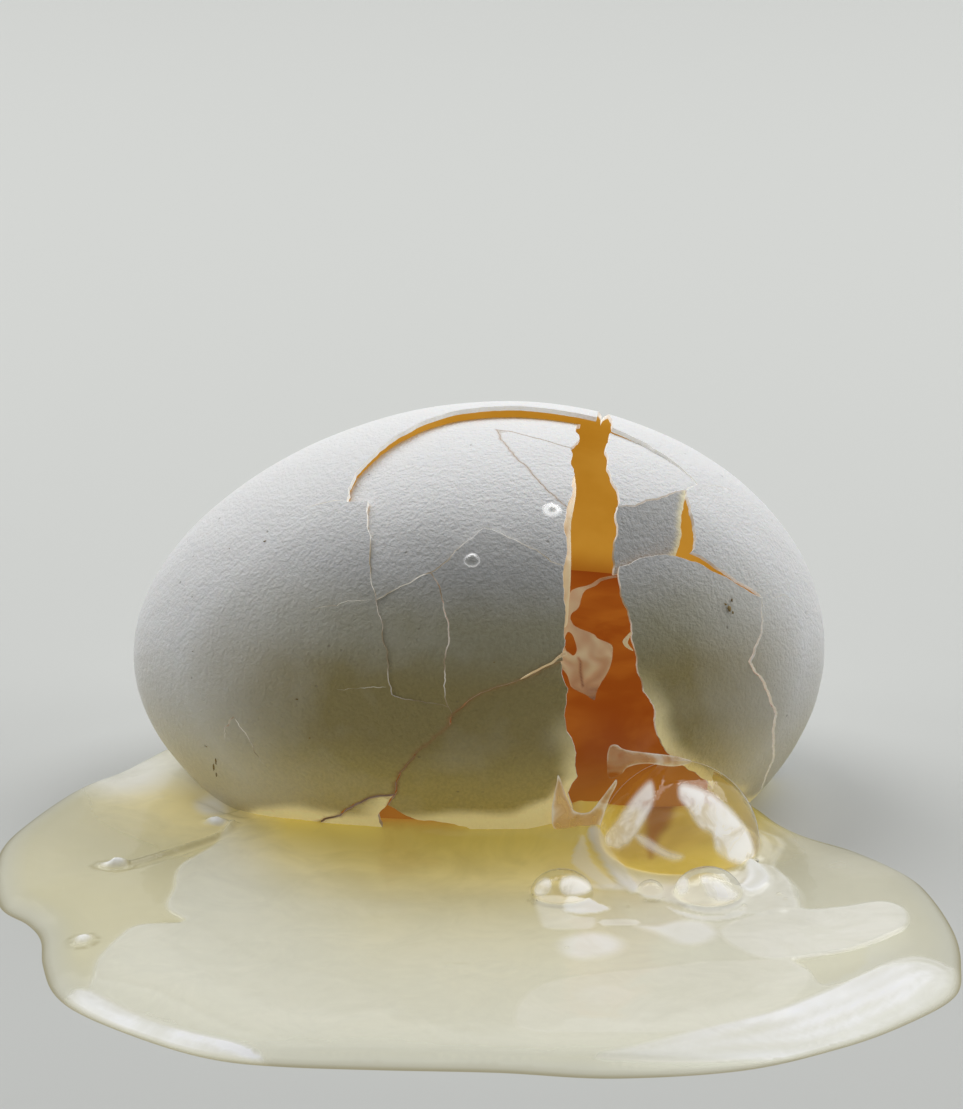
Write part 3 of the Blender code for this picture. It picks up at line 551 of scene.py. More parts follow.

# -------- the front plates
# Nine fragments of the same wall between the front cracks. Each has kept its curve but has sunk, leaned or
# folded inwards on the skin that still joins it, so that an edge of it catches the light or drops into shade.

# The cracks round each plate, the two places it hinges on, the place that moves inwards most and how far, how
# far the whole plate stands in, the cracks along which white has soaked it and a painted glow lights it, how
# far from them, and the height over the table up to which it has
PLATES = {
    "plate_upper": (("arc", "gash_top", "-flake_top", "flake_low", "gash_upper", "-across_right",
        "-across_left", "-left_upper", "-top_left"), ((-8.6, 33.6), (7.7, 40)), (0.7, 96.5), 1.3, 0, (), 1,
        0),
    "plate_flake": (("flake_top", "gash_flake", "-flake_low"), ((-8.6, 33.6), (7.7, 40)), (0.7, 96.5), 1.35,
        0, (), 1, 0),
    "plate_left": (("across_left", "middle", "-floor", "-left_lower"), ((-3.8, 39.2), (-2.5, 8)), (-8.4, 24),
        0.22, -0.02, (), 1, 0),
    "plate_middle": (("across_right", "gash_lower", "-lower", "-floor_end", "-middle"), None, None, 0, -0.06,
        (), 1, 0),
    "plate_lower": (("lower", "gash_foot", "-lower_foot", "-chip_right", "-lower_left"), ((1.2, -36),
        (8.6, -40)), (4, 14), 0.6, 0, ("gash_foot",), 1.9, 15),
    "plate_chip": (("chip_right", "chip_foot", "-chip_top"), None, None, 0, -0.05,
        ("chip_foot", "chip_right"), 2.4, 40),
    "plate_right_top": (("cap_top", "-crease", "-gash_right_top"), ((12.5, 57.5), (18.6, 69.8)), (13, 89),
        0.5, 0, (), 1, 0),
    "plate_right_fold": (("crease", "sunk_right", "-shoulder", "-gash_right_mid"), ((12.5, 57.5),
        (18.6, 69.8)), (18.1, 48), 1.3, 0, ("sunk_right",), 0.7, 60),
    "plate_right_low": (("shoulder", "sunk_top", "end", "-gash_right_low"), ((25, 38.3), (24.7, -62)),
        (17.4, 45), 0.4, 0, ("gash_right_low",), 2, 18.5),
}
PLATE_PITCH = 0.5
SOAK_GLOW_STRENGTH, SOAK_GLOW_FADE = 0.85, 6.5

# Plates darker than their height and place say: the lower plate, with more raw egg and more painted shade,
# and the fold, darkened with painted shade as it faces down
DAMPER_AND_SHADIER, PAINTED_SHADE_AT_LEAST = {"plate_lower": 1.25}, {"plate_right_fold": 0.75}


def turned(points, hinge, lowest, sink):
    """Points in the egg's own frame, turned about a hinge line until one place has sunk by a given depth."""
    if not hinge:
        return points
    ends = np.array([flat_place(*p) for p in (*hinge, lowest)])
    a, b, c = (Vector(p) for p in on_egg(ends))
    inward = Vector(on_egg(ends[2:], 1)[0]) - c
    axis = (b - a).normalized()
    foot = a + axis * (c - a).dot(axis)
    angle = asin(sink / (c - foot).length)
    if axis.cross(c - foot).dot(inward) < 0:
        angle = -angle
    turn = np.array(Matrix.Translation(a) @ Matrix.Rotation(angle, 4, axis) @ Matrix.Translation(-a))
    return points @ turn[:3, :3].T + turn[:3, 3]


for name, (names, hinge, lowest, sink, depth, soaked, reach, soaked_up_to) in PLATES.items():
    loop = outline(names, 1)
    flat, faces = triangles(loop, [], staggered(loop, PLATE_PITCH))
    points = stand(turned(shell_face(flat, depth), hinge, lowest, sink))
    soak_and_glow = near(flat, soaked, reach) if soaked else np.zeros(len(flat))
    soak_and_glow *= SOAK_GLOW_STRENGTH * unit((soaked_up_to - points[:, 2]) / SOAK_GLOW_FADE)
    damp_and_shade = unit(damp_and_shade_share(points) * DAMPER_AND_SHADIER.get(name, 1))
    damp_and_shade = np.maximum(damp_and_shade, PAINTED_SHADE_AT_LEAST.get(name, 0))
    plate = shell_piece(name.replace("plate_", "shell_"), flat, faces, points,
                        np.maximum(foot_soak_and_glow(points), soak_and_glow), damp_and_shade)
    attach(plate, "root")
    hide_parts(name)

# -------- the raw egg still inside
# White and yolk fill the bottom of the shell up to a level. The liquid wets the wall, so its surface climbs a
# little at the edge, and daylight through the shell turns it deep amber.

INSIDE_LEVEL, WALL_CLIMB = 11.5, 0.6
SIDE_CLEARANCE, MORE_IN_FRONT = 0.35, 0.85
HEADINGS, SURFACE_PITCH = 220, 0.8
LEVELS = (0.05, 1, 2.2, 3.6, 5.2, 6.8, 8.4, 9.8, 10.9, INSIDE_LEVEL)


def section(height, depth, count=HEADINGS):
    """The loop round the egg at a height over the table, moved inwards by a depth for each heading."""
    turn = tau * np.arange(count) / count
    heading = np.stack([np.cos(turn), np.sin(turn)], axis=1)
    nearer, far = np.zeros(count), np.full(count, HALF_LENGTH + 2)
    for _ in range(26):
        middle = (nearer + far) / 2
        world = np.column_stack([EGG_CENTRE[:2] + heading * middle[:, None], np.full(count, height)])
        x, y, z = ((world - EGG_CENTRE) @ EGG_TURN).T
        c = -np.clip(x, -HALF_LENGTH, HALF_LENGTH) / HALF_LENGTH
        radius = MAX_RADIUS * np.sqrt(np.maximum(0, 1 - c * c)) * (1 - TAPER * c - SLIMNESS * c * c)
        inner = (np.abs(x) < HALF_LENGTH) & (np.hypot(y, z) < radius - depth)
        nearer, far = np.where(inner, middle, nearer), np.where(inner, far, middle)
    return EGG_CENTRE[:2] + heading * far[:, None]


def hump(distance, width, power=2):
    """1 at no distance, falling to nothing beyond a width."""
    return np.exp(-(distance / width) ** power)


def spill(flat):
    """How far the liquid's surface sags where it leans out through the gash."""
    return 5 * hump(flat[:, 0] - 12.5, 6, 4) * np.exp(-np.maximum(0, flat[:, 1] - 0.5) / 4.5)


def band(low, high, turns):
    """The faces between two rings of points."""
    return [(low + i, low + (i + 1) % turns, high + (i + 1) % turns, high + i) for i in range(turns)]


def lid(first, turns):
    """One face that closes a ring of points from below."""
    return [tuple(first + i for i in reversed(range(turns)))]


# Rings of points up its side, clear of the wall and more so of the plates in front, and then its surface
turn = tau * np.arange(HEADINGS) / HEADINGS
clearance = SIDE_CLEARANCE + MORE_IN_FRONT * unit(2 - np.abs(turn - 1.5 * pi) / 0.75)
rings = []
for height in LEVELS:
    level = height * (1 - spill(section(height, clearance)) / INSIDE_LEVEL)
    rings.append(np.column_stack([section(level, clearance), level]))
edge = rings[-1][:, :2]
rings[-1][:, 2] += WALL_CLIMB
flat, top = triangles(edge, [], staggered(edge, SURFACE_PITCH))
climb = WALL_CLIMB * np.exp(-off_line(flat, edge) / 1.1)
waves = relief(flat, 9, 0.22, 7)
surface = np.column_stack([flat, INSIDE_LEVEL + climb + waves * (1 - climb / WALL_CLIMB) - spill(flat)])
surface[:HEADINGS, 2] = rings[-1][:, 2]
starts = [len(surface) + HEADINGS * i for i in range(len(LEVELS) - 1)] + [0]
body = [tuple(face) for face in top]
for low, high in zip(starts, starts[1:]):
    body += band(low, high, HEADINGS)

# Deep amber, paler at its foot, glowing in its own colour by emission: a painted glow for the daylight
# through the shell
AMBER, PALER_AMBER, AMBER_FOOT = (0.2, 0.045, 0.006), (0.27, 0.085, 0.012), (0.3, 0.13, 0.022)
m = new_material("raw_egg_amber")
swirl = m.ranged(m.noise(110, 3, Distortion=1.2), 0.35, 0.7)
colour = m.blend(m.ranged(m.axes()["Z"], 0.001, 0.012), AMBER_FOOT, m.blend(swirl, AMBER, PALER_AMBER))
raw_egg_amber = m.solid(colour, 0.3, 0.62, Specular_IOR_Level=0.18, IOR=1.36)
contents = mesh_piece("raw_egg_inside", np.concatenate([surface] + rings[:-1]),
                      body + lid(starts[0], HEADINGS), [raw_egg_amber])
smooth(contents, 60)
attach(contents, "root")
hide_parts("white_inside")

# -------- the torn inner skin
# Two skins of fibre line an egg's shell. Along the gash they have torn: a wet flap hangs folded across it,
# a thin lip runs up from it, a strip stands out past the left edge, and shreds lie over the gash's foot.

# Each shred: places (x, angle, depth under the shell's outer face) round its outline, and how pale it is
SKINS = {
    "skin_flap": (((7.2, 25.4, 0.7), (7.2, 22.9, 0.7), (7.2, 20.4, 0.7), (7.3, 17, 0.75), (7.9, 14.5, 0.95),
        (8.1, 12.8, 1.1), (8.4, 11.1, 1.2), (9.6, 9.1, 1.4), (10.4, 7.5, 1.5), (10.6, 9.5, 1.5),
        (11, 12, 1.4), (11.7, 15.4, 1.3), (12, 18.9, 1.2), (11.9, 21.4, 1), (10.7, 23.1, 0.95),
        (10.3, 24.2, 0.9), (8.8, 26, 0.9), (8.4, 27.4, 0.95), (8.4, 29.1, 1), (9.1, 30.8, 1.1),
        (9.4, 33.4, 1.2), (9.8, 35.3, 1.3), (10.7, 36.6, 1.4), (11.5, 38.2, 1.3), (13.2, 39.1, 0.9),
        (13.2, 39.6, 0.9), (11.3, 38.7, 1.2), (10.2, 36.8, 1.3), (8.6, 35.2, 1.1), (8.2, 33, 0.9),
        (7.5, 30, 0.7)), 0.61),
    "skin_strip": (((8.3, 68, 1.25), (9, 70.2, 1.35), (9.2, 66, 1.35), (9.1, 60.8, 1.2), (8.6, 52.4, 1),
        (8.5, 43.9, 0.85), (8.4, 37.9, 0.75), (8.2, 32.1, 0.7), (7.95, 26.5, 0.6), (7.5, 26.4, 0.5),
        (7.4, 31.9, 0.55), (7.3, 37.6, 0.6), (7.2, 43.4, 0.7), (7.2, 52.8, 0.95), (7.5, 60.9, 1.15)), 0.8),
    "skin_lip": (((3.7, 14.2, -0.16), (4.6, 15.6, -0.2), (5.5, 16.8, -0.24), (6.3, 17.7, -0.24),
        (7, 19.3, -0.22), (7.6, 20.3, -0.1), (7.7, 19.4, -0.14), (7.1, 18.7, -0.2), (6.5, 17.5, -0.18),
        (5.8, 16.8, -0.14), (5.1, 15.8, -0.12), (4.4, 14.9, -0.06)), 0.58),
    "skin_curl": (((13.6, 24.7, 0.6), (13.1, 23.2, 0.9), (12.9, 22.1, 1), (13.1, 20.9, 0.9),
        (13.7, 19.8, 0.6), (13.35, 21.3, 0.7), (13.3, 22.3, 0.7)), 0.75),
    "skin_over_mouth": (((11.1, -7.1, 0.3), (11.4, -4, 0.35), (12, -3.8, 0.35), (12.8, -5.5, 0.3),
        (15.8, -8.7, 0.2), (17.4, -11.2, 0.25), (18.6, -14.4, 0.3), (16.9, -13.4, 0.1), (14.6, -10.2, 0),
        (12.9, -9.9, 0), (12.2, -11.6, 0), (11.2, -12.3, 0.1)), 0.62),
    "skin_curtain": (((6.8, -9.5, -0.05), (7.4, -15.1, -0.25), (7.9, -18.9, -0.3), (8.5, -20.4, -0.3),
        (9.4, -20.5, -0.3), (10.3, -17.4, -0.3), (11.1, -14.4, -0.3), (11.7, -12.5, -0.25),
        (11.7, -13.9, -0.3), (11, -17.8, -0.4), (10.5, -22.1, -0.5), (10, -26.7, -0.6), (9.4, -29.8, -0.6),
        (8.7, -28.4, -0.5), (6.4, -24.8, -0.3), (6.1, -19.8, -0.15), (6.3, -15.2, -0.1), (6.6, -11.6, -0.05)),
        0.84),
}
SKIN_WALL, SKIN_PITCH = 0.07, 0.16

# In the flap: a hole, the place its folds swirl round, and a crease darkened with painted shade
FLAP_HOLE = (
    (7.7, 22.7), (8, 24.7), (8.4, 24.3), (8.7, 22.3), (8.8, 20.3), (8.5, 19.1), (8.1, 19.8), (7.8, 20.6),
)
SWIRL, FLAP_CREASE = (10.7, 16.7), ((8.9, 18.5), (9.1, 17.5), (9.1, 15), (9.3, 11.4))

# The shreds that are a film of white, not skin
VEILS = ("skin_curtain", "skin_over_mouth")

# The skin: deep, pink or light as its stored value says, which holds painted highlights and painted shade as
# well as the skin's own tone; it also glows faintly by emission, a painted glow
DEEP_SKIN, PINK_SKIN, PALE_SKIN = (0.2, 0.06, 0.012), (0.43, 0.205, 0.085), (0.62, 0.48, 0.265)
m = new_material("inner_skin")
bent = m.noise(260, 2, Distortion=1)
share = m.plus(m.stored("pale_and_light"), m.ranged(bent, 0.3, 0.7, -0.06, 0.06))
deep = m.blend(m.ranged(share, 0, 0.55), DEEP_SKIN, PINK_SKIN)
inner_skin = m.solid(m.blend(m.ranged(share, 0.45, 1), deep, PALE_SKIN), 0.22, 0.28,
                     Coat_Weight=0.4, Coat_Roughness=0.06, Normal=m.bump(bent, 0.35, 0.00015))

# The film of white: tan to clear by its stored value, with painted highlights along its edges and a faint
# emission glow, a painted glow
TAN_VEIL, PALE_VEIL, CLEAR_VEIL = (0.66, 0.46, 0.25), (0.82, 0.77, 0.69), (0.97, 0.94, 0.88)
m = new_material("film_veil")
drain, pale_and_light = m.noise(280, 2, Distortion=1.5), m.stored("pale_and_light")
thick = m.plus(m.ranged(pale_and_light, 0.25, 1.1, 0.16, 0.95), m.ranged(drain, 0.3, 0.7, -0.2, 0.2))
share = m.ranged(m.plus(pale_and_light, m.ranged(drain, 0.3, 0.7, -0.26, 0.26)), 0.5, 1)
m.solid(m.blend(share, TAN_VEIL, PALE_VEIL), 0.12, 0.16, Normal=m.bump(drain, 0.4, 0.0003))
film_veil = m.surface(m.mix(thick, m.clear(CLEAR_VEIL), m.nodes["Principled BSDF"].outputs[0]))


def smooth_loop(points, steps):
    """A closed curve through the points, with a number of steps between each two."""
    points = np.array(points)
    p0, p1, p2, p3 = (np.roll(points, 1 - k, axis=0)[:, None, :] for k in range(4))
    u = (np.arange(steps) / steps)[None, :, None]
    curve = 0.5 * (2 * p1 + (p2 - p0) * u + (2 * p0 - 5 * p1 + 4 * p2 - p3) * u ** 2
                   + (3 * p1 - p0 - 3 * p2 + p3) * u ** 3)
    return curve.reshape(-1, points.shape[1])


for name, (corners, paleness) in SKINS.items():
    edge = smooth_loop([(*flat_place(x, angle), depth) for x, angle, depth in corners], 8)
    edge[:, :2] += 0.025 * np.array([[noise.noise(Vector((*p[:2], k)) * 2) for k in (0, 9)] for p in edge])
    loop, loop_depths = edge[:, :2], edge[:, 2]
    fill, holes = staggered(loop, SKIN_PITCH), []
    if name == "skin_flap":
        holes = [smooth_loop([flat_place(*p) for p in FLAP_HOLE], 4)]
        fill = fill[~within(fill, holes[0]) & (off_line(fill, holes[0]) > 0.08)]
    flat, faces = triangles(loop, holes, fill)
    gaps = np.linalg.norm(flat[:, None, :] - loop[None, :, :], axis=2) + 0.02
    weights = 1 / gaps ** 2
    depth = (weights * loop_depths).sum(axis=1) / weights.sum(axis=1)
    # Each shred's tone, with painted highlights along its edges and on the flap's folds, painted shade along
    # the flap's crease, the flap darker towards its foot and the film over the mouth darker towards its left
    pale_and_light = paleness + relief(flat, 1.1, 0.12, 3)
    if name == "skin_flap":
        away = flat - np.array(flat_place(*SWIRL))
        turns = (0.85 * away[:, 0] + 0.35 * away[:, 1]) / 1.5 + relief(flat, 1.8, 1.1, 5)
        folds = 0.8 * np.sin(tau * turns) * unit(3.4 - away[:, 1])
        angle = np.degrees(flat[:, 1] / MAX_RADIUS)
        pale_and_light += 0.11 * folds + 0.1 * np.clip((angle - 16) / 8, -1, 0.5)
        pale_and_light *= np.clip((angle - 7) / 5, 0.05, 1) * np.clip(1 - (angle - 35.5) / 6, 0.5, 1)
        crease = off_line(flat, [flat_place(*p) for p in FLAP_CREASE], False)
        pale_and_light -= 0.5 * hump(crease, 0.1)
        depth -= 0.05 * folds + 0.25 * np.exp(-(away ** 2).sum(axis=1) / 3)
    else:
        inner = off_line(flat, loop)
        pale_and_light += 0.3 * np.exp(-inner / 0.08)
        if name == "skin_curtain":
            pale_and_light -= 0.16 * unit(inner / 0.35)
        if name == "skin_over_mouth":
            left = np.array(flat_place(13.6, -8)) - flat
            pale_and_light -= 0.45 * unit((left[:, 0] + 0.5 * left[:, 1]) / 2.2)
        depth -= 0.1 * unit(inner / 0.5)
    skin = mesh_piece(name, stand(on_egg(flat, depth)), faces, [film_veil if name in VEILS else inner_skin],
                      {"pale_and_light": np.clip(pale_and_light, 0, 1.1)})
    give_wall(skin, SKIN_WALL, 0, 60)
    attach(skin, "root")
    if name == "skin_flap":
        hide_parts("inner_skin")

# -------- the pool of white
# The white that has run out lies in a shallow pool: thin and clear at the edge, thicker and a little cloudy
# in overlapping lobes, climbing the shell where it touches it and swelling where it comes out of the gash.

POOL_EDGE = (
    (-24.5, 32), (-28, 27.3), (-31.8, 21.9), (-35.3, 18), (-38.9, 11), (-41, 5), (-41.3, -1.5), (-40.3, -8.4),
    (-37.8, -11.9), (-36.5, -15.2), (-36, -20.4), (-34.7, -26.3), (-31.8, -30.9), (-25.5, -36.5),
    (-20.4, -39.5), (-14.9, -40.7), (-7.1, -41.3), (2.4, -41.8), (11.6, -42.9), (22.2, -41.4), (30.5, -37),
    (36.1, -32.3), (40.4, -26.8), (41.3, -20.5), (41.2, -14), (39.8, -6.5), (37.9, -1.4), (33.9, 3.6),
    (29.8, 6.9), (27.2, 10.2), (25, 14.5), (21.5, 20), (18.5, 27), (17, 33), (16, 38.2), (8, 42.3), (0, 43),
    (-9, 41.8), (-17.5, 38),
)
EDGE_DEPTH, EDGE_WIDTH = 0.75, 2.6
BROAD_DEPTH, BROAD_WIDTH = 0.85, 11

# Where the edge runs out gently instead of standing round: place, how far round it, and how much wider
GENTLE = ((-28, -34, 8.5, 5), (34.5, -31, 10, 6), (22, -40, 8, 3))

# How high the liquid climbs the shell in front, from left to right
CLIMB = (
    (-40, -20.7, -15, -9, -1.8, 5, 8, 9.5, 11.5, 14, 17, 20, 24, 40), (1.2, 0.9, 2.3, 3.3, 3.8, 3.8, 5.2, 6.2,
    5, 4.4, 3.6, 3, 1.8, 1.4),
)

# Lobes of thicker white: an outline, how high and how soft its step is, and how much less clear and how much
# more white the lobe is. The white is partly milk and partly painted reflection; the two most white lobes,
# along the front edge, are painted reflections of the soft boxes
LOBES = (
    (((-20, 12), (-21.4, 5.1), (-22.6, 1.3), (-24.8, -2.4), (-25.4, -5.1), (-25.4, -7.7), (-25.9, -12),
     (-24.3, -14.9), (-28.2, -15.6), (-29.8, -18.2), (-31.2, -22), (-31.5, -25.1), (-31.6, -28.5),
     (-28.6, -33), (-22.5, -37.6), (-17, -39.2), (-5.9, -39.6), (10, -40.6), (22, -39.6), (30.5, -34.8),
     (38.6, -26.8), (39.4, -22.4), (35.6, -23), (29.8, -28), (28.2, -25.1), (27.1, -22.6), (31.9, -20.7),
     (35.4, -17.4), (37.1, -14.5), (36.9, -11.2), (35, -10.1), (31.8, -11.6), (28.4, -12.2), (28, -8),
     (26.2, -3), (25, 6), (0, 14)), 0.16, 0.4, 0.26, 0.05),
    (((-24.3, -14.9), (-28.2, -15.6), (-29.8, -18.2), (-31.2, -22), (-31.5, -25.1), (-31.6, -28.5),
     (-28.6, -33), (-22.5, -37.6), (-17, -39), (-10.8, -36), (-5.9, -33.4), (-6.2, -30.2), (-11, -26.5),
     (-18, -22.5), (-21.6, -17.4)), 0.05, 2.2, 0, 0.1),
    (((24, -22.3), (27.4, -22.6), (31.9, -20.7), (35.4, -17.4), (37.1, -14.5), (36.9, -11.2), (35, -10.1),
     (31.8, -11.6), (28.4, -12.2), (25.2, -12.9), (21, -17)), 0.06, 0.9, 0.15, 0.42),
    (((16, -24.5), (20.4, -23.2), (24, -22.9), (27.1, -22.6), (28.2, -25.1), (28, -28.2), (26.2, -32),
     (23.6, -34.4), (18.5, -36.8), (11.9, -37.4), (4, -36.4), (6, -28)), 0.05, 1, 0.1, 0.24),
    (((10.1, -40.9), (15, -41.2), (21.5, -40.5), (27.6, -38.9), (31.9, -36.3), (35.6, -32.9), (39, -29),
     (41, -25.2), (40.9, -22), (37.9, -21), (35.1, -22.8), (32.2, -26.2), (28.3, -30.3), (24.5, -33.5),
     (19.1, -36.3), (13.8, -39.2)), 0, 1, 0.12, 0.95),
    (((-33.6, -27.6), (-33, -30.3), (-31, -33.4), (-28.4, -35.9), (-25.2, -38), (-21.7, -40.1), (-18, -41),
     (-16.6, -40.2), (-18.2, -38.4), (-22, -35.9), (-25.2, -33.6), (-28.4, -30.8), (-31, -28),
     (-32.6, -26.6)), 0, 0.7, 0.4, 1.12),
    (((8.4, -9.8), (9.7, -10.3), (10.9, -11.3), (11.8, -12.3), (10.9, -13.3), (8.9, -13.6), (7.9, -12.7)),
     0.1, 0.35, 0.2, 0.75),
    (((5.6, -10.3), (8, -9.8), (8.1, -12.7), (9.1, -14.1), (10.6, -14.4), (10.3, -16.6), (8.7, -17),
     (6.7, -16.8), (6, -15.7)), 0.03, 0.8, 0.1, 0.4),
    (((7.9, -19), (9.6, -17.7), (11.6, -18.1), (12.8, -20), (11.9, -22), (9.9, -22.9), (8.4, -22.5),
     (7.6, -20.9)), 0.08, 3.2, 0.2, 0.75),
    (((13.9, -16.2), (15.9, -16.1), (17.8, -15), (19.8, -15.2), (20.8, -17.2), (20.2, -19), (18.7, -19.9),
     (17.3, -19.5), (15.8, -17.7)), 0.08, 2.2, 0.2, 0.6),
    (((10.2, 0.8), (11.5, 0.8), (12.6, -1.7), (13.5, -5), (14.4, -8), (13.7, -8.8), (12.2, -5.3), (11, -1.7)),
     0.22, 0.45, 0.2, 0.68),
    (((8.7, -2.5), (9.7, 0.5), (10.6, -3), (12.2, -6.5), (12, -8), (11, -7), (9.8, -5)), 0.08, 0.3, 0.1, 0.3),
    (((13.4, -4.3), (16.1, -5.6), (19, -5.8), (21.3, -5.5), (23.7, -4.5), (25.5, -2.8), (27.2, -5.5),
     (27.6, -9), (27.9, -12), (26.7, -13.2), (23.7, -13.7), (19.8, -13.6), (17.5, -11.7), (16, -10.5),
     (14.5, -9.5)), 0.1, 0.5, 0.15, 0.42),
    (((23.8, -3.3), (24.7, -3), (25.5, -4.8), (25.7, -6.8), (24.9, -8.8), (23.8, -9.7), (22.9, -8.8),
     (23.7, -6)), 0.35, 0.9, 0.25, 0.85),
    (((16.8, -12), (17.9, -13), (19.8, -13.9), (21.8, -13.7), (23.4, -12), (22.9, -14.2), (20, -15),
     (18, -14)), 0.05, 0.3, 0.15, 0.55),
    (((11, -14.9), (13.2, -14.6), (14.3, -15.1), (14.1, -16), (12.4, -16), (11.2, -16.1)), 0.04, 0.3, 0.1,
     0.5),
    (((-5.1, -33.3), (-0.9, -37.1), (2.8, -37.3), (6, -36.4), (11.8, -34.5), (14.9, -35.8), (11.7, -38.6),
     (7.5, -39.6), (3.3, -39.3), (-1.9, -38.6)), 0.02, 1.6, 0.03, 0.12),
)

# The amber that shows through the white where it leaves the gash
AMBER_SHOWS = (
    (15.1, 12.2), (17.6, 12.5), (18.3, 9.7), (18.1, 6.9), (17.4, 4.1), (16.4, 2), (15.8, -0.4), (15.6, -1.5),
    (15.3, 1.3), (15, 4), (13, 4.2), (11, 3.8), (9.2, 3.5), (7.6, 4), (7.2, 6), (8, 9), (10, 12),
)

# Soft white wisps and painted highlights: place, half widths, how white. The three at full white are painted
# highlights on the blisters
WISPS_AND_GLINTS = (
    ((14.5, -7.4), (6, 1.2), 0.45), ((-22.4, 7.2), (1, 0.9), 1), ((-30.9, -2.5), (1.4, 0.9), 1),
    ((-32.7, -17.8), (0.9, 1.2), 1), ((11, -30.5), (5, 4), 0.3), ((-38.5, -2), (4, 7), 0.1), ((-31, 20),
    (5, 9), 0.5), ((-23, 11.8), (1.8, 3.4), 0.65), ((-10, -12), (9, 3), 0.1), ((34, -2), (5, 4), 0.18),
)

# A crease where two flows met, and small blisters: place, half widths, height. A painted dark line runs
# beside the crease and round the taller blisters
CREASE = np.array(((-20.9, 7), (-21.4, 5.1), (-22.4, 3.6), (-25, 1.3), (-27.5, -0.7), (-29.3, -2.1),
                   (-30.8, -2.7)))
BLISTERS = (
    ((-22.4, 7.3), (1.25, 1), 0.55), ((-30.9, -2.6), (1.6, 1), 0.5), ((-32.7, -17.9), (1.1, 1.25), 0.5),
    ((-0.9, -24.3), (1.9, 0.35), 0.14), ((-7.9, -38.6), (1.1, 0.3), 0.1), ((9.4, -35), (2, 1.3), 0.1),
    ((26, -12.6), (1, 1.8), 0.1),
)

# The bubbles that show as pieces of their own: foot centre, radius of the foot, and height
BUBBLES = {
    "bubble_large": ((18.1, 0.9), 7.1, 7), "bubble_right": ((20.3, -9.7), 3, 2.1), "bubble_left":
    ((7.8, -9.4), 2.7, 2),
}


def step(distance, soft):
    """0 outside, 1 inside, smooth over a width: distance counts up inwards."""
    return eased(0.5 + distance / soft)


def inward(points, loop):
    """How far inside a loop flat points lie, less than nothing if outside."""
    return off_line(points, loop) * np.where(within(points, loop), 1, -1)


pool_loop = smooth_loop(POOL_EDGE, 10)
wet_loop = section(2.4, 0, 160)
lobe_loops = [smooth_loop(lobe[0], 5) for lobe in LOBES]
amber_loop = smooth_loop(AMBER_SHOWS, 5)


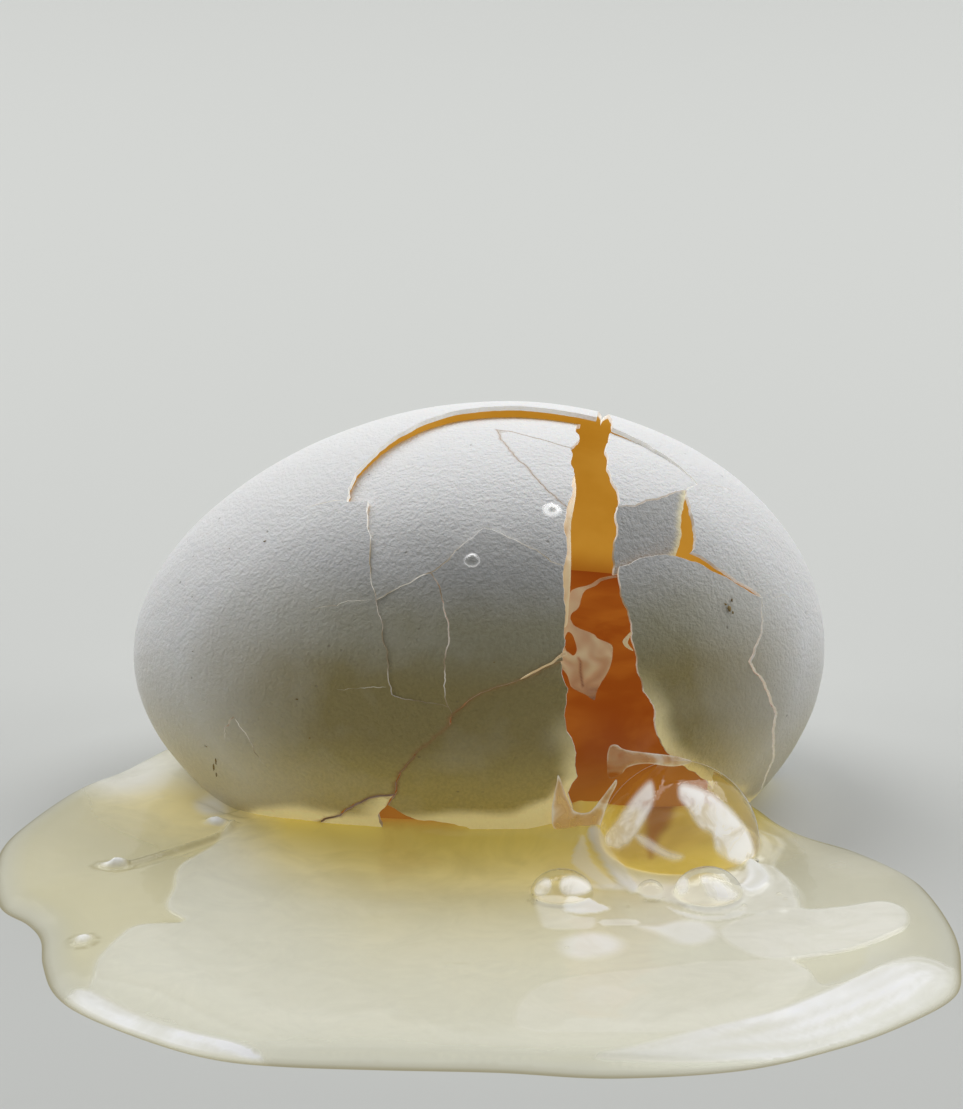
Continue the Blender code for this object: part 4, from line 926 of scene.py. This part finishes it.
def pool_shape(flat):
    """The pool's height over each place on the table, and how gold, cloudy and white it is there, with
    painted shadow and glow in the gold, painted sheen in the white and painted dark lines.
    """
    x, y = flat.T
    edge = off_line(flat, pool_loop)
    wide = EDGE_WIDTH
    for gentle_x, gentle_y, reach, more in GENTLE:
        wide = wide + more * np.exp(-((x - gentle_x) ** 2 + (y - gentle_y) ** 2) / reach ** 2)
    rim = unit(edge / wide)
    calm = hump(edge, 0.8 + wide)
    shelving = unit((wide - EDGE_WIDTH) / 3)
    broad = unit(edge / BROAD_WIDTH)
    height = EDGE_DEPTH * (1 - (1 - rim) ** (2 - 0.7 * shelving)) + BROAD_DEPTH * (1 - (1 - broad) ** 2)
    off_shell = np.where(within(flat, wet_loop), 0, off_line(flat, wet_loop))
    front = unit((EGG_CENTRE[1] - 2 - y) / 6)
    contact = np.interp(x, *CLIMB) * front + 2 * (1 - front)
    height += (contact - 1.75) * np.exp(-off_shell / 1.5) * rim
    cloud, white = np.zeros(len(flat)), np.zeros(len(flat))
    for loop, (_, rise, soft, cloudy, whiter_or_sheen) in zip(lobe_loops, LOBES):
        inner = inward(flat, loop)
        height += rise * step(inner, soft) * rim
        cloud += cloudy * step(inner, soft * 0.7)
        if whiter_or_sheen >= 0.8:
            streaks = relief(np.column_stack([inner, x * 0.1]), 1.2, 1, rise + soft)
            whiter_or_sheen = whiter_or_sheen * (0.82 + 0.6 * streaks)
        white = np.maximum(white, whiter_or_sheen * step(inner, soft * 0.7) * step(edge - 0.45, 0.5))
    for (at_x, at_y), (wide, long), whiter_or_sheen in WISPS_AND_GLINTS:
        here = unit(1.7 * (1 - np.hypot((x - at_x) / wide, (y - at_y) / long)))
        white = np.maximum(white, whiter_or_sheen * here)
        cloud = np.maximum(cloud, 0.5 * whiter_or_sheen * here)
    by_crease = off_line(flat, CREASE, False)
    height += 0.3 * hump(by_crease, 0.3) - 0.12 * hump(by_crease - 0.8, 0.5)
    line = 0.8 * hump(by_crease - 0.3, 0.22)
    for (at_x, at_y), (wide, long), rise in BLISTERS:
        away = np.hypot((x - at_x) / wide, (y - at_y) / long)
        height += rise * unit(1 - away ** 2) ** 1.3
        line = np.maximum(line, 0.7 * hump(away - 1.15, 0.14) * (rise > 0.4))
    for (at_x, at_y), radius, _ in BUBBLES.values():
        away = np.hypot(x - at_x, y - at_y) - radius
        height += 0.1 * radius ** 0.8 * hump(np.abs(away), 0.3 + 0.05 * radius, 1.6)
    height += rim * unit(edge / 9) * (relief(flat, 13, 0.14, 5) + relief(flat, 5, 0.04, 8))
    # The gold tint: the yellow of thicker white with painted shadow and glow near the egg's front; more gold
    # outside the main lobe on the left and round the large bubble
    reach = np.interp(x, (-24, -18, -8, 8, 16, 30), (3, 8, 14, 15, 10, 5))
    golden = hump(off_shell, reach, 1.35) * front * np.interp(x, (-23, -16), (0.3, 1))
    outer = 1 - step(inward(flat, lobe_loops[0]), 0.5)
    left = unit((-16 - x) / 8)
    golden = np.maximum(golden, (0.2 + 0.26 * left) * outer * front * unit(edge / 3))
    golden *= 1 - 0.8 * shelving * (edge < 8)
    by_bubble = np.hypot(x - 17.5, y + 0.5)
    golden = np.maximum(golden, 0.92 * hump(by_bubble, 7.2, 6))
    white *= 1 - 0.9 * hump(by_bubble, 6.6, 8)
    amber = step(inward(flat, amber_loop), 1)
    cloud = 0.24 + cloud + 0.75 * hump(off_shell, 9, 3)
    cloud = unit(cloud) * unit(0.24 + edge / 7.5)
    cloud = np.maximum(cloud * (1 - 0.38 * hump(by_bubble, 6.3, 6)), 0.92 * amber)
    # The edge value: painted dark lines along the rim, beside the crease and round the taller blisters
    return {"height": np.where(edge < 1e-4, 0, height), "golden": golden * (1 - 0.9 * white),
            "cloud": np.clip(cloud, 0, 0.96), "white": white, "amber": amber,
            "edge": np.maximum(hump(edge, 0.4), line),
            "calm": np.maximum(calm, 0.85 * hump(by_bubble, 6.3, 8))}


at_shell = section(0.05, 0.25)
at_mouth = hump(at_shell[:, 0] - 11.5, 4, 4) * (at_shell[:, 1] < EGG_CENTRE[1])
mouth_side = section(0.05, 0.25 + 2.2 * at_mouth)


def beside(loop, aside):
    """A closed loop moved aside to its left, without what falls outside the pool."""
    moved = loop + sideways(np.roll(loop, -1, axis=0) - np.roll(loop, 1, axis=0)) * aside
    return moved[within(moved, pool_loop)]


# Points for the surface: rows along the edge and the clearest lobes, and staggered ones, closer together in
# front of the gash and along the crease
CHURNED = np.array([(3, -24), (30, -24), (30, 6), (3, 6)])
BY_CREASE = np.array([(-33, -5), (-27, -4.5), (-18.5, 4), (-19, 9.5), (-24.5, 7.5), (-33, 0.5)])
POOL_PITCH, CHURNED_PITCH, CREASE_PITCH, CREASE_REACH = 0.52, 0.3, 0.22, 1.6
EDGE_ROWS, LOBE_ROWS = (0.06, 0.16, 0.32, 0.55), (-0.28, 0, 0.28)
rim_lines = [beside(pool_loop, EDGE_WIDTH * share) for share in EDGE_ROWS]
fill, close = staggered(pool_loop, POOL_PITCH, 1.6), staggered(BY_CREASE, CREASE_PITCH)
fill = fill[~within(fill, CHURNED) & ~(off_line(fill, CREASE, False) < CREASE_REACH)]
close = close[off_line(close, CREASE, False) < CREASE_REACH]
fill = np.concatenate([fill, staggered(CHURNED, CHURNED_PITCH), close])
lobe_lines = []
for loop in (lobe_loops[i] for i in (0, 2, 3, 4, 5)):
    fill = fill[off_line(fill, loop) > 0.42]
    run = np.concatenate([[0], np.cumsum(np.linalg.norm(np.roll(loop, -1, axis=0) - loop, axis=1))])
    marks = np.arange(0, run[-1], 0.3)
    traced = np.stack([np.interp(marks, run, np.append(loop[:, k], loop[0, k])) for k in (0, 1)], axis=1)
    rows = [beside(traced, aside) for aside in LOBE_ROWS]
    lobe_lines += [row[off_line(row, pool_loop) > 1.5] for row in rows]
fill = np.concatenate(rim_lines + [fill] + lobe_lines)
flat, faces = triangles(pool_loop, [mouth_side], fill[~within(fill, mouth_side)])
shape = pool_shape(flat)
height = shape.pop("height")
count = len(flat)
rims = {(int(a), int(b)) for face in faces for a, b in zip(face, np.roll(face, -1))}
walls = [(b, a, a + count, b + count) for a, b in sorted(rims) if (b, a) not in rims]
points = np.concatenate([np.column_stack([flat, height]), np.column_stack([flat, height * 0])])
body = [tuple(face) for face in faces] + [tuple(face[::-1] + count) for face in faces] + walls

# Clear liquid, with cloudy white and gold in it as the stored values say; the cloudy white glows a little by
# emission, a painted glow
# The gold holds painted shadow and glow, the white painted reflections and highlights, the edge tint painted
# dark lines
CLEAR_TINT, GOLD_TINT, EDGE_PAINTED_SHADE = (0.976, 0.96, 0.888), (0.93, 0.87, 0.56), (0.5, 0.43, 0.24)
MILK, GOLD_MILK = (0.715, 0.69, 0.545), (0.83, 0.645, 0.105)
AMBER_MILK, WHITE_MILK_AND_SHEEN = (0.36, 0.13, 0.02), (0.82, 0.825, 0.825)
m = new_material("egg_white")
golden, wisps = m.stored("golden"), m.noise(150, 5, Distortion=1)
tint = m.blend(m.times(m.stored("edge"), 0.8), m.blend(golden, CLEAR_TINT, GOLD_TINT), EDGE_PAINTED_SHADE)
milk_and_sheen = m.times(m.stored("white"), m.ranged(wisps, 0.25, 0.7, 0.7, 1))
milk = m.blend(m.times(m.stored("amber"), 0.9), m.blend(golden, MILK, GOLD_MILK), AMBER_MILK)
milk = m.blend(milk_and_sheen, milk, WHITE_MILK_AND_SHEEN)
cloudy = m.matt_with_glow(milk, milk, m.ranged(milk_and_sheen, 0.55, 0.95, 0.17, 0.25))
wispy = m.times(m.stored("cloud"), m.ranged(wisps, 0.25, 0.75, 0.82, 1.1))
shade = m.mix(m.plus(wispy, m.times(milk_and_sheen, 0.6)), m.clear(tint), cloudy)
ripples = m.bump(m.noise(240, 2), 0.35, 0.0004)
mirrored = m.times(m.edge_on(1.36, Normal=ripples), m.ranged(m.stored("calm"), 0, 0.9, 1, 0.15))
egg_white = m.film(m.mix(mirrored, shade, m.gloss(0.09, Normal=ripples)), (1, 1, 0.98))
pool = mesh_piece("egg_white_pool", points, body, [egg_white],
                  {key: np.tile(each, 2) for key, each in shape.items()})
merge_close(pool, 0.002)
smooth(pool, 50)
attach(pool, "root")
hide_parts("white_pool")

# -------- bubbles on the pool
# Air that came out with the white: a large bubble at the gash's foot, smaller ones beside it, and beads. Each
# is a thin dome of clear film whose foot stands in a collar of liquid.

# The film: clear, with painted shade where it is seen edge on, a painted white ring near its outline, and
# painted reflections where its stored value says
CLEAR_FILM, SLANTED_FILM_SHADE = (0.99, 0.985, 0.955), (0.58, 0.43, 0.17)
BUBBLE_SHEEN, BUBBLE_SHEEN_GLOW, NO_TINT = (0.88, 0.87, 0.84), (1, 0.98, 0.93), (1, 1, 1)
m = new_material("bubble_film")
aslant = m.add("LayerWeight", {"Blend": 0.5})["Facing"]
clear = m.clear(m.blend(m.ranged(aslant, 0.8, 0.97), CLEAR_FILM, SLANTED_FILM_SHADE))
shine = m.gloss(0.02, Normal=m.bump(m.noise(420, 3, Distortion=1), 0.25, 0.0003))
streaks = m.ranged(m.noise(420, 3, Distortion=0.8), 0.32, 0.6, 0.48, 0.98)
ring = m.times(m.ranged(aslant, 0.84, 0.875), m.ranged(aslant, 0.91, 0.875, 0, 0.45))
painted_sheen = m.math("MAXIMUM", m.times(m.stored("painted_sheen"), streaks), ring)
shine = m.mix(m.plus(m.edge_on(1.34), 0.01), clear, shine)
bubble_film = m.film(m.mix(painted_sheen, shine, m.matt_with_glow(BUBBLE_SHEEN, BUBBLE_SHEEN_GLOW, 0.35)), NO_TINT)

# Painted reflections on the bubbles' fronts, white and glowing a little: each patch's outline, across and up,
# how soft it is, and how strong. The fronts are tipped a little up.
PAINTED_REFLECTIONS = {
    "bubble_large": ((((0, 0.8), (0.13, 0.79), (0.36, 0.73), (0.58, 0.61), (0.76, 0.47), (0.88, 0.33),
        (0.93, 0.15), (0.8, 0.1), (0.59, 0.15), (0.44, 0.23), (0.39, 0.37), (0.24, 0.44), (0.15, 0.52),
        (0.08, 0.6), (-0.02, 0.7)), 0.09, 0.97), (((0.3, 0.66), (0.52, 0.56), (0.7, 0.42), (0.8, 0.24),
        (0.66, 0.26), (0.52, 0.4), (0.36, 0.56)), 0.1, 1), (((-0.49, 0.75), (-0.36, 0.82), (-0.33, 0.68),
        (-0.4, 0.55), (-0.55, 0.37), (-0.7, 0.26), (-0.85, 0.26), (-0.91, 0.33), (-0.81, 0.44), (-0.66, 0.6)),
        0.08, 0.82), (((-0.55, 0.37), (-0.4, 0.33), (-0.18, 0.23), (0.02, 0.18), (-0.1, 0.15), (-0.33, 0.22),
        (-0.5, 0.3)), 0.07, 0.5)),
    "bubble_right": ((((-0.95, 0.5), (-0.8, 0.72), (-0.6, 0.72), (-0.62, 0.48), (-0.8, 0.36)), 0.16, 0.8),
        (((-0.2, 0.78), (0.11, 0.8), (0.54, 0.56), (0.8, 0.34), (0.54, 0.22), (0.1, 0.3), (-0.11, 0.5)), 0.2,
        0.9)),
    "bubble_left": ((((-0.88, 0.41), (-0.69, 0.7), (-0.38, 0.72), (-0.41, 0.42), (-0.75, 0.26)), 0.16, 0.75),
        (((0.04, 0.8), (0.38, 0.82), (0.77, 0.66), (0.92, 0.45), (0.67, 0.35), (0.13, 0.33), (-0.06, 0.55)),
        0.2, 0.85)),
}
TIPPED_UP, TIPPED_OUT = 0.35, 0.94

# Beads: a small bubble between the two, a row of tiny ones before it, and a few by the left bubble
BEADS = (
    (15.4, -8.4, 1.15), (14.9, -10.6, 0.22), (15.3, -10.7, 0.2), (15.75, -10.8, 0.24), (16.15, -10.7, 0.18),
    (16.5, -10.4, 0.2), (13.4, -11.9, 0.16), (5.2, -10, 0.17), (5, -10.9, 0.2), (5.35, -11.5, 0.22),
    (5.75, -11.2, 0.16), (23.3, -12.2, 0.26), (23, -13.1, 0.18), (26.4, -9.6, 0.3), (26.9, -10.6, 0.22),
    (8.1, -20.9, 0.24), (24.6, -3.2, 0.3),
)


def dome_faces(turns, rings):
    """The faces of a closed dome: a fan round its top, bands between its rings, and its foot."""
    faces = [(0, 1 + i, 1 + (i + 1) % turns) for i in range(turns)]
    for top in range(1, (rings - 1) * turns, turns):
        low = top + turns
        faces += [(top + i, low + i, low + (i + 1) % turns, top + (i + 1) % turns) for i in range(turns)]
    return faces + lid((rings - 1) * turns + 1, turns)


def dome_angles(turns, rings, past=1):
    """For each place on a dome but its top, how far down and how far round it lies."""
    return [(pi / 2 * past * ring / rings, tau * i / turns)
            for ring in range(1, rings + 1) for i in range(turns)]


def dome(name, centre, radius, height, foot, turns, rings, reflections=()):
    """A bubble: a closed dome of film over a foot at the given level, its shape a little slack, with its
    painted reflections stored on it.
    """
    spots = np.array([(0, 0, 1)] + [(sin(dip) * cos(turn), sin(dip) * sin(turn), cos(dip))
                                    for dip, turn in dome_angles(turns, rings, 1.06)])
    slack = 1 + relief(spots, 1.3, 0.05, centre[0])
    painted_sheen = np.zeros(len(spots))
    facing = TIPPED_UP * spots[:, 2] - TIPPED_OUT * spots[:, 1] > 0
    front = TIPPED_OUT * spots[:, 2] + TIPPED_UP * spots[:, 1] + TIPPED_UP
    front = np.stack([spots[:, 0], front / (1 + TIPPED_UP)], axis=1)
    for corners, soft, strength in reflections:
        painted_sheen = np.maximum(painted_sheen, strength * facing * step(inward(front, smooth_loop(corners, 5)), soft))
    bubble = mesh_piece(name, spots * slack[:, None] * (radius, radius, height) + (*centre, foot),
                        dome_faces(turns, rings), [bubble_film], {"painted_sheen": painted_sheen})
    smooth(bubble, 50)
    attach(bubble, "root")
    return bubble


def pool_level(x, y):
    """The height of the pool at one place."""
    return float(pool_shape(np.array([(x, y)]))["height"][0])


for name, ((x, y), radius, height) in BUBBLES.items():
    taller, turns, rings = (0.5, 200, 100) if name == "bubble_large" else (0.2, 110, 50)
    bubble = dome(name.replace("bubble_", "film_bubble_"), (x, y), radius, height + taller,
                  pool_level(x, y - radius) - 0.25, turns, rings, PAINTED_REFLECTIONS[name])
    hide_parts(name)
for i, (x, y, radius) in enumerate(BEADS):
    dome(f"bead_{i + 1}", (x, y), radius, radius * 0.85, pool_level(x, y) - radius * 0.12, 24, 8)

# -------- drops on the shell
# Two drops of white that splashed up have stuck to the front plates. Each is clear, with painted shade in its
# middle and a painted highlight ring and crescent round it, and stands in a thin wet film of its own with a
# painted lighter halo and painted shade on its lower side.

# Each drop or film: x, angle, half widths along and round, height
DROPS = {
    "drop_large": (-0.2, 41.4, 0.66, 0.66, 0.6), "drop_small": (6.8, 54.9, 0.42, 0.42, 0.38), "film_large":
    (-0.1, 41.3, 1.45, 1.35, 0.18), "film_small": (6.7, 54.8, 0.85, 0.9, 0.15),
}
DROP_TURNS, DROP_RINGS = 48, 20

# Painted shade darkens the drops where a stored value says, and painted highlights glow white where the other
# says
PAINTED_DARK, DROP_HIGHLIGHT, DROP_HIGHLIGHT_GLOW = (0.62, 0.62, 0.6), (0.9, 0.9, 0.89), (0.95, 0.96, 0.97)
m = new_material("wet_drop")
clear = m.clear(m.blend(m.stored("drop_shade"), NO_TINT, PAINTED_DARK))
shine = m.mix(m.plus(m.edge_on(1.3), 0.05), clear, m.gloss(0.05))
wet_drop = m.film(m.mix(m.stored("painted_sheen"), shine, m.matt_with_glow(DROP_HIGHLIGHT, DROP_HIGHLIGHT_GLOW, 0.35)), NO_TINT)
for name, (x, angle, wide, tall, height) in DROPS.items():
    centre = np.array(flat_place(x, angle))
    flat, lift, glow, shade = [centre], [1], [0], [0]
    for dip, turn in dome_angles(DROP_TURNS, DROP_RINGS):
        share, across, up = sin(dip), cos(turn), sin(turn)
        wobble = 1 + 0.1 * noise.noise(Vector((across, up, x)) * 1.3)
        flat.append(centre + np.array([wide * across, tall * up]) * share * wobble)
        lift.append(cos(dip))
        if name.startswith("film"):
            glow.append(0.62 * hump(share - 0.58, 0.2))
            shade.append(0.25 * share * (1 - share) * (up < 0))
        else:
            crescent = hump(share - 0.62, 0.16) * max(0, up) ** 2
            glow.append(min(1, 0.4 * hump(share - 0.95, 0.12) + crescent))
            shade.append(hump(share, 0.75, 4))
    glow[0], shade[0] = glow[1], shade[1]
    own = turned(on_egg(np.array(flat), 0.05 - np.array(lift) * height), *PLATES["plate_upper"][1:4])
    drop = mesh_piece(name, stand(own), dome_faces(DROP_TURNS, DROP_RINGS), [wet_drop],
                      {"painted_sheen": glow, "drop_shade": shade})
    smooth(drop, 50)
    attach(drop, "root")

# -------- dirt on the shell
# Specks of litter and a thin brown smear, dried on before the egg was cracked.

# Each speck: x, angle, half widths along and round
SPECKS = (
    (22, 32.2, 0.22, 0.42), (22.25, 35, 0.1, 0.28), (21.7, 33.4, 0.16, 0.14), (22.3, 31, 0.12, 0.2),
    (-24, -18.1, 0.13, 0.13), (-23.25, -23.5, 0.1, 0.7), (-23.5, -27.6, 0.1, 1.1), (-23.3, -31.6, 0.1, 0.8),
    (-15.7, 8.5, 0.2, 0.12), (-18.3, 57.5, 0.17, 0.08), (-24.9, 23.2, 0.11, 0.1), (-21.5, 60.7, 0.12, 0.07),
    (1.5, 18.2, 0.1, 0.09), (-14.7, -2.3, 0.12, 0.12),
)
CORNERS = 12

DARK_DIRT, BROWN_DIRT = (0.15, 0.1, 0.03), (0.31, 0.22, 0.085)
m = new_material("dried_dirt")
dried_dirt = m.solid(m.blend(m.ranged(m.noise(3000, 3), 0.35, 0.65), DARK_DIRT, BROWN_DIRT), 0.85)
points, faces = [], []
for i, (x, angle, wide, tall) in enumerate(SPECKS):
    first, centre, chance = len(points), np.array(flat_place(x, angle)), Random(i)
    shape = [(tau * k / CORNERS, chance.uniform(0.55, 1.25)) for k in range(CORNERS)]
    for share, lift in ((1, -0.03), (0.6, 0.045)):
        ring = [centre + np.array([wide * cos(turn), tall * sin(turn)]) * size * share
                for turn, size in shape]
        points += list(stand(on_egg(np.array(ring), -lift)))
    faces += band(first, first + CORNERS, CORNERS)
    faces += [tuple(first + CORNERS + k for k in range(CORNERS))] + lid(first, CORNERS)
specks = mesh_piece("dirt_specks", np.array(points), faces, [dried_dirt])
smooth(specks, 60)
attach(specks, "root")

# -------- table, light and camera
# A plain pale table, four soft boxes above and beside it, and a camera that looks down a little at the egg.

bpy.ops.object.select_all(action="DESELECT")
bpy.ops.mesh.primitive_plane_add(size=4, location=(0, 0.6, 0.02 * MM))
table = bpy.context.active_object
table.name = "table"
TABLE_PALE = (0.6, 0.61, 0.59)
table.data.materials.append(new_material("table_pale").solid(TABLE_PALE, 0.7, Specular_IOR_Level=0.2))

SOFT_LIGHT, BACKDROP = (0.96, 0.98, 1), (0.8, 0.81, 0.8)
m = Shades(bpy.data.worlds.new("studio"))
m.nodes.clear()
bpy.context.scene.world = m.owner
rays = m.add("LightPath")
seen = m.math("MAXIMUM", rays["Is Camera Ray"], rays["Is Glossy Ray"])
seen = m.math("MAXIMUM", seen, rays["Is Transmission Ray"])
soft, white = (m.add("Background", {"Color": colour, "Strength": strength})[0]
               for colour, strength in ((SOFT_LIGHT, 0.13), (BACKDROP, 1)))
m.feed(m.nodes.new("ShaderNodeOutputWorld"), {"Surface": m.mix(seen, soft, white)})

# Soft boxes, in metres: place, what it faces, width, height, power
LIGHTS = {
    "box_above_left": ((-0.245, 0.26, 0.41), (0, 0.01, 0.01), 0.32, 0.44, 1.45), "box_above_right":
    ((0.245, 0.26, 0.41), (0, 0.01, 0.01), 0.32, 0.44, 1.4), "box_left": ((-0.4, 0.04, 0.28), (0, 0.01, 0.01),
    0.12, 0.34, 0.26), "box_right": ((0.4, 0.02, 0.28), (0, 0.01, 0.01), 0.12, 0.34, 0.36),
}
for name, (spot, target, wide, tall, power) in LIGHTS.items():
    lamp = bpy.data.lights.new(name, "AREA")
    lamp.shape, lamp.size, lamp.size_y, lamp.energy = "RECTANGLE", wide, tall, power
    box = bpy.data.objects.new(name, lamp)
    bpy.context.collection.objects.link(box)
    box.location = spot
    box.rotation_euler = (Vector(target) - Vector(spot)).to_track_quat("-Z", "Y").to_euler()

lens = bpy.data.cameras.new("camera")
lens.lens, lens.sensor_width, lens.sensor_fit = 219.5, 36, "AUTO"
lens.clip_start, lens.clip_end = 0.01, 20
camera = bpy.data.objects.new("camera", lens)
bpy.context.collection.objects.link(camera)
camera.location = (0.93 * MM, -541 * MM, 231.6 * MM)
aim = Vector((0.93, 21, 21.47)) * MM - camera.location
camera.rotation_euler = aim.to_track_quat("-Z", "Y").to_euler()
bpy.context.scene.camera = camera
bpy.context.scene.view_settings.view_transform = "Standard"
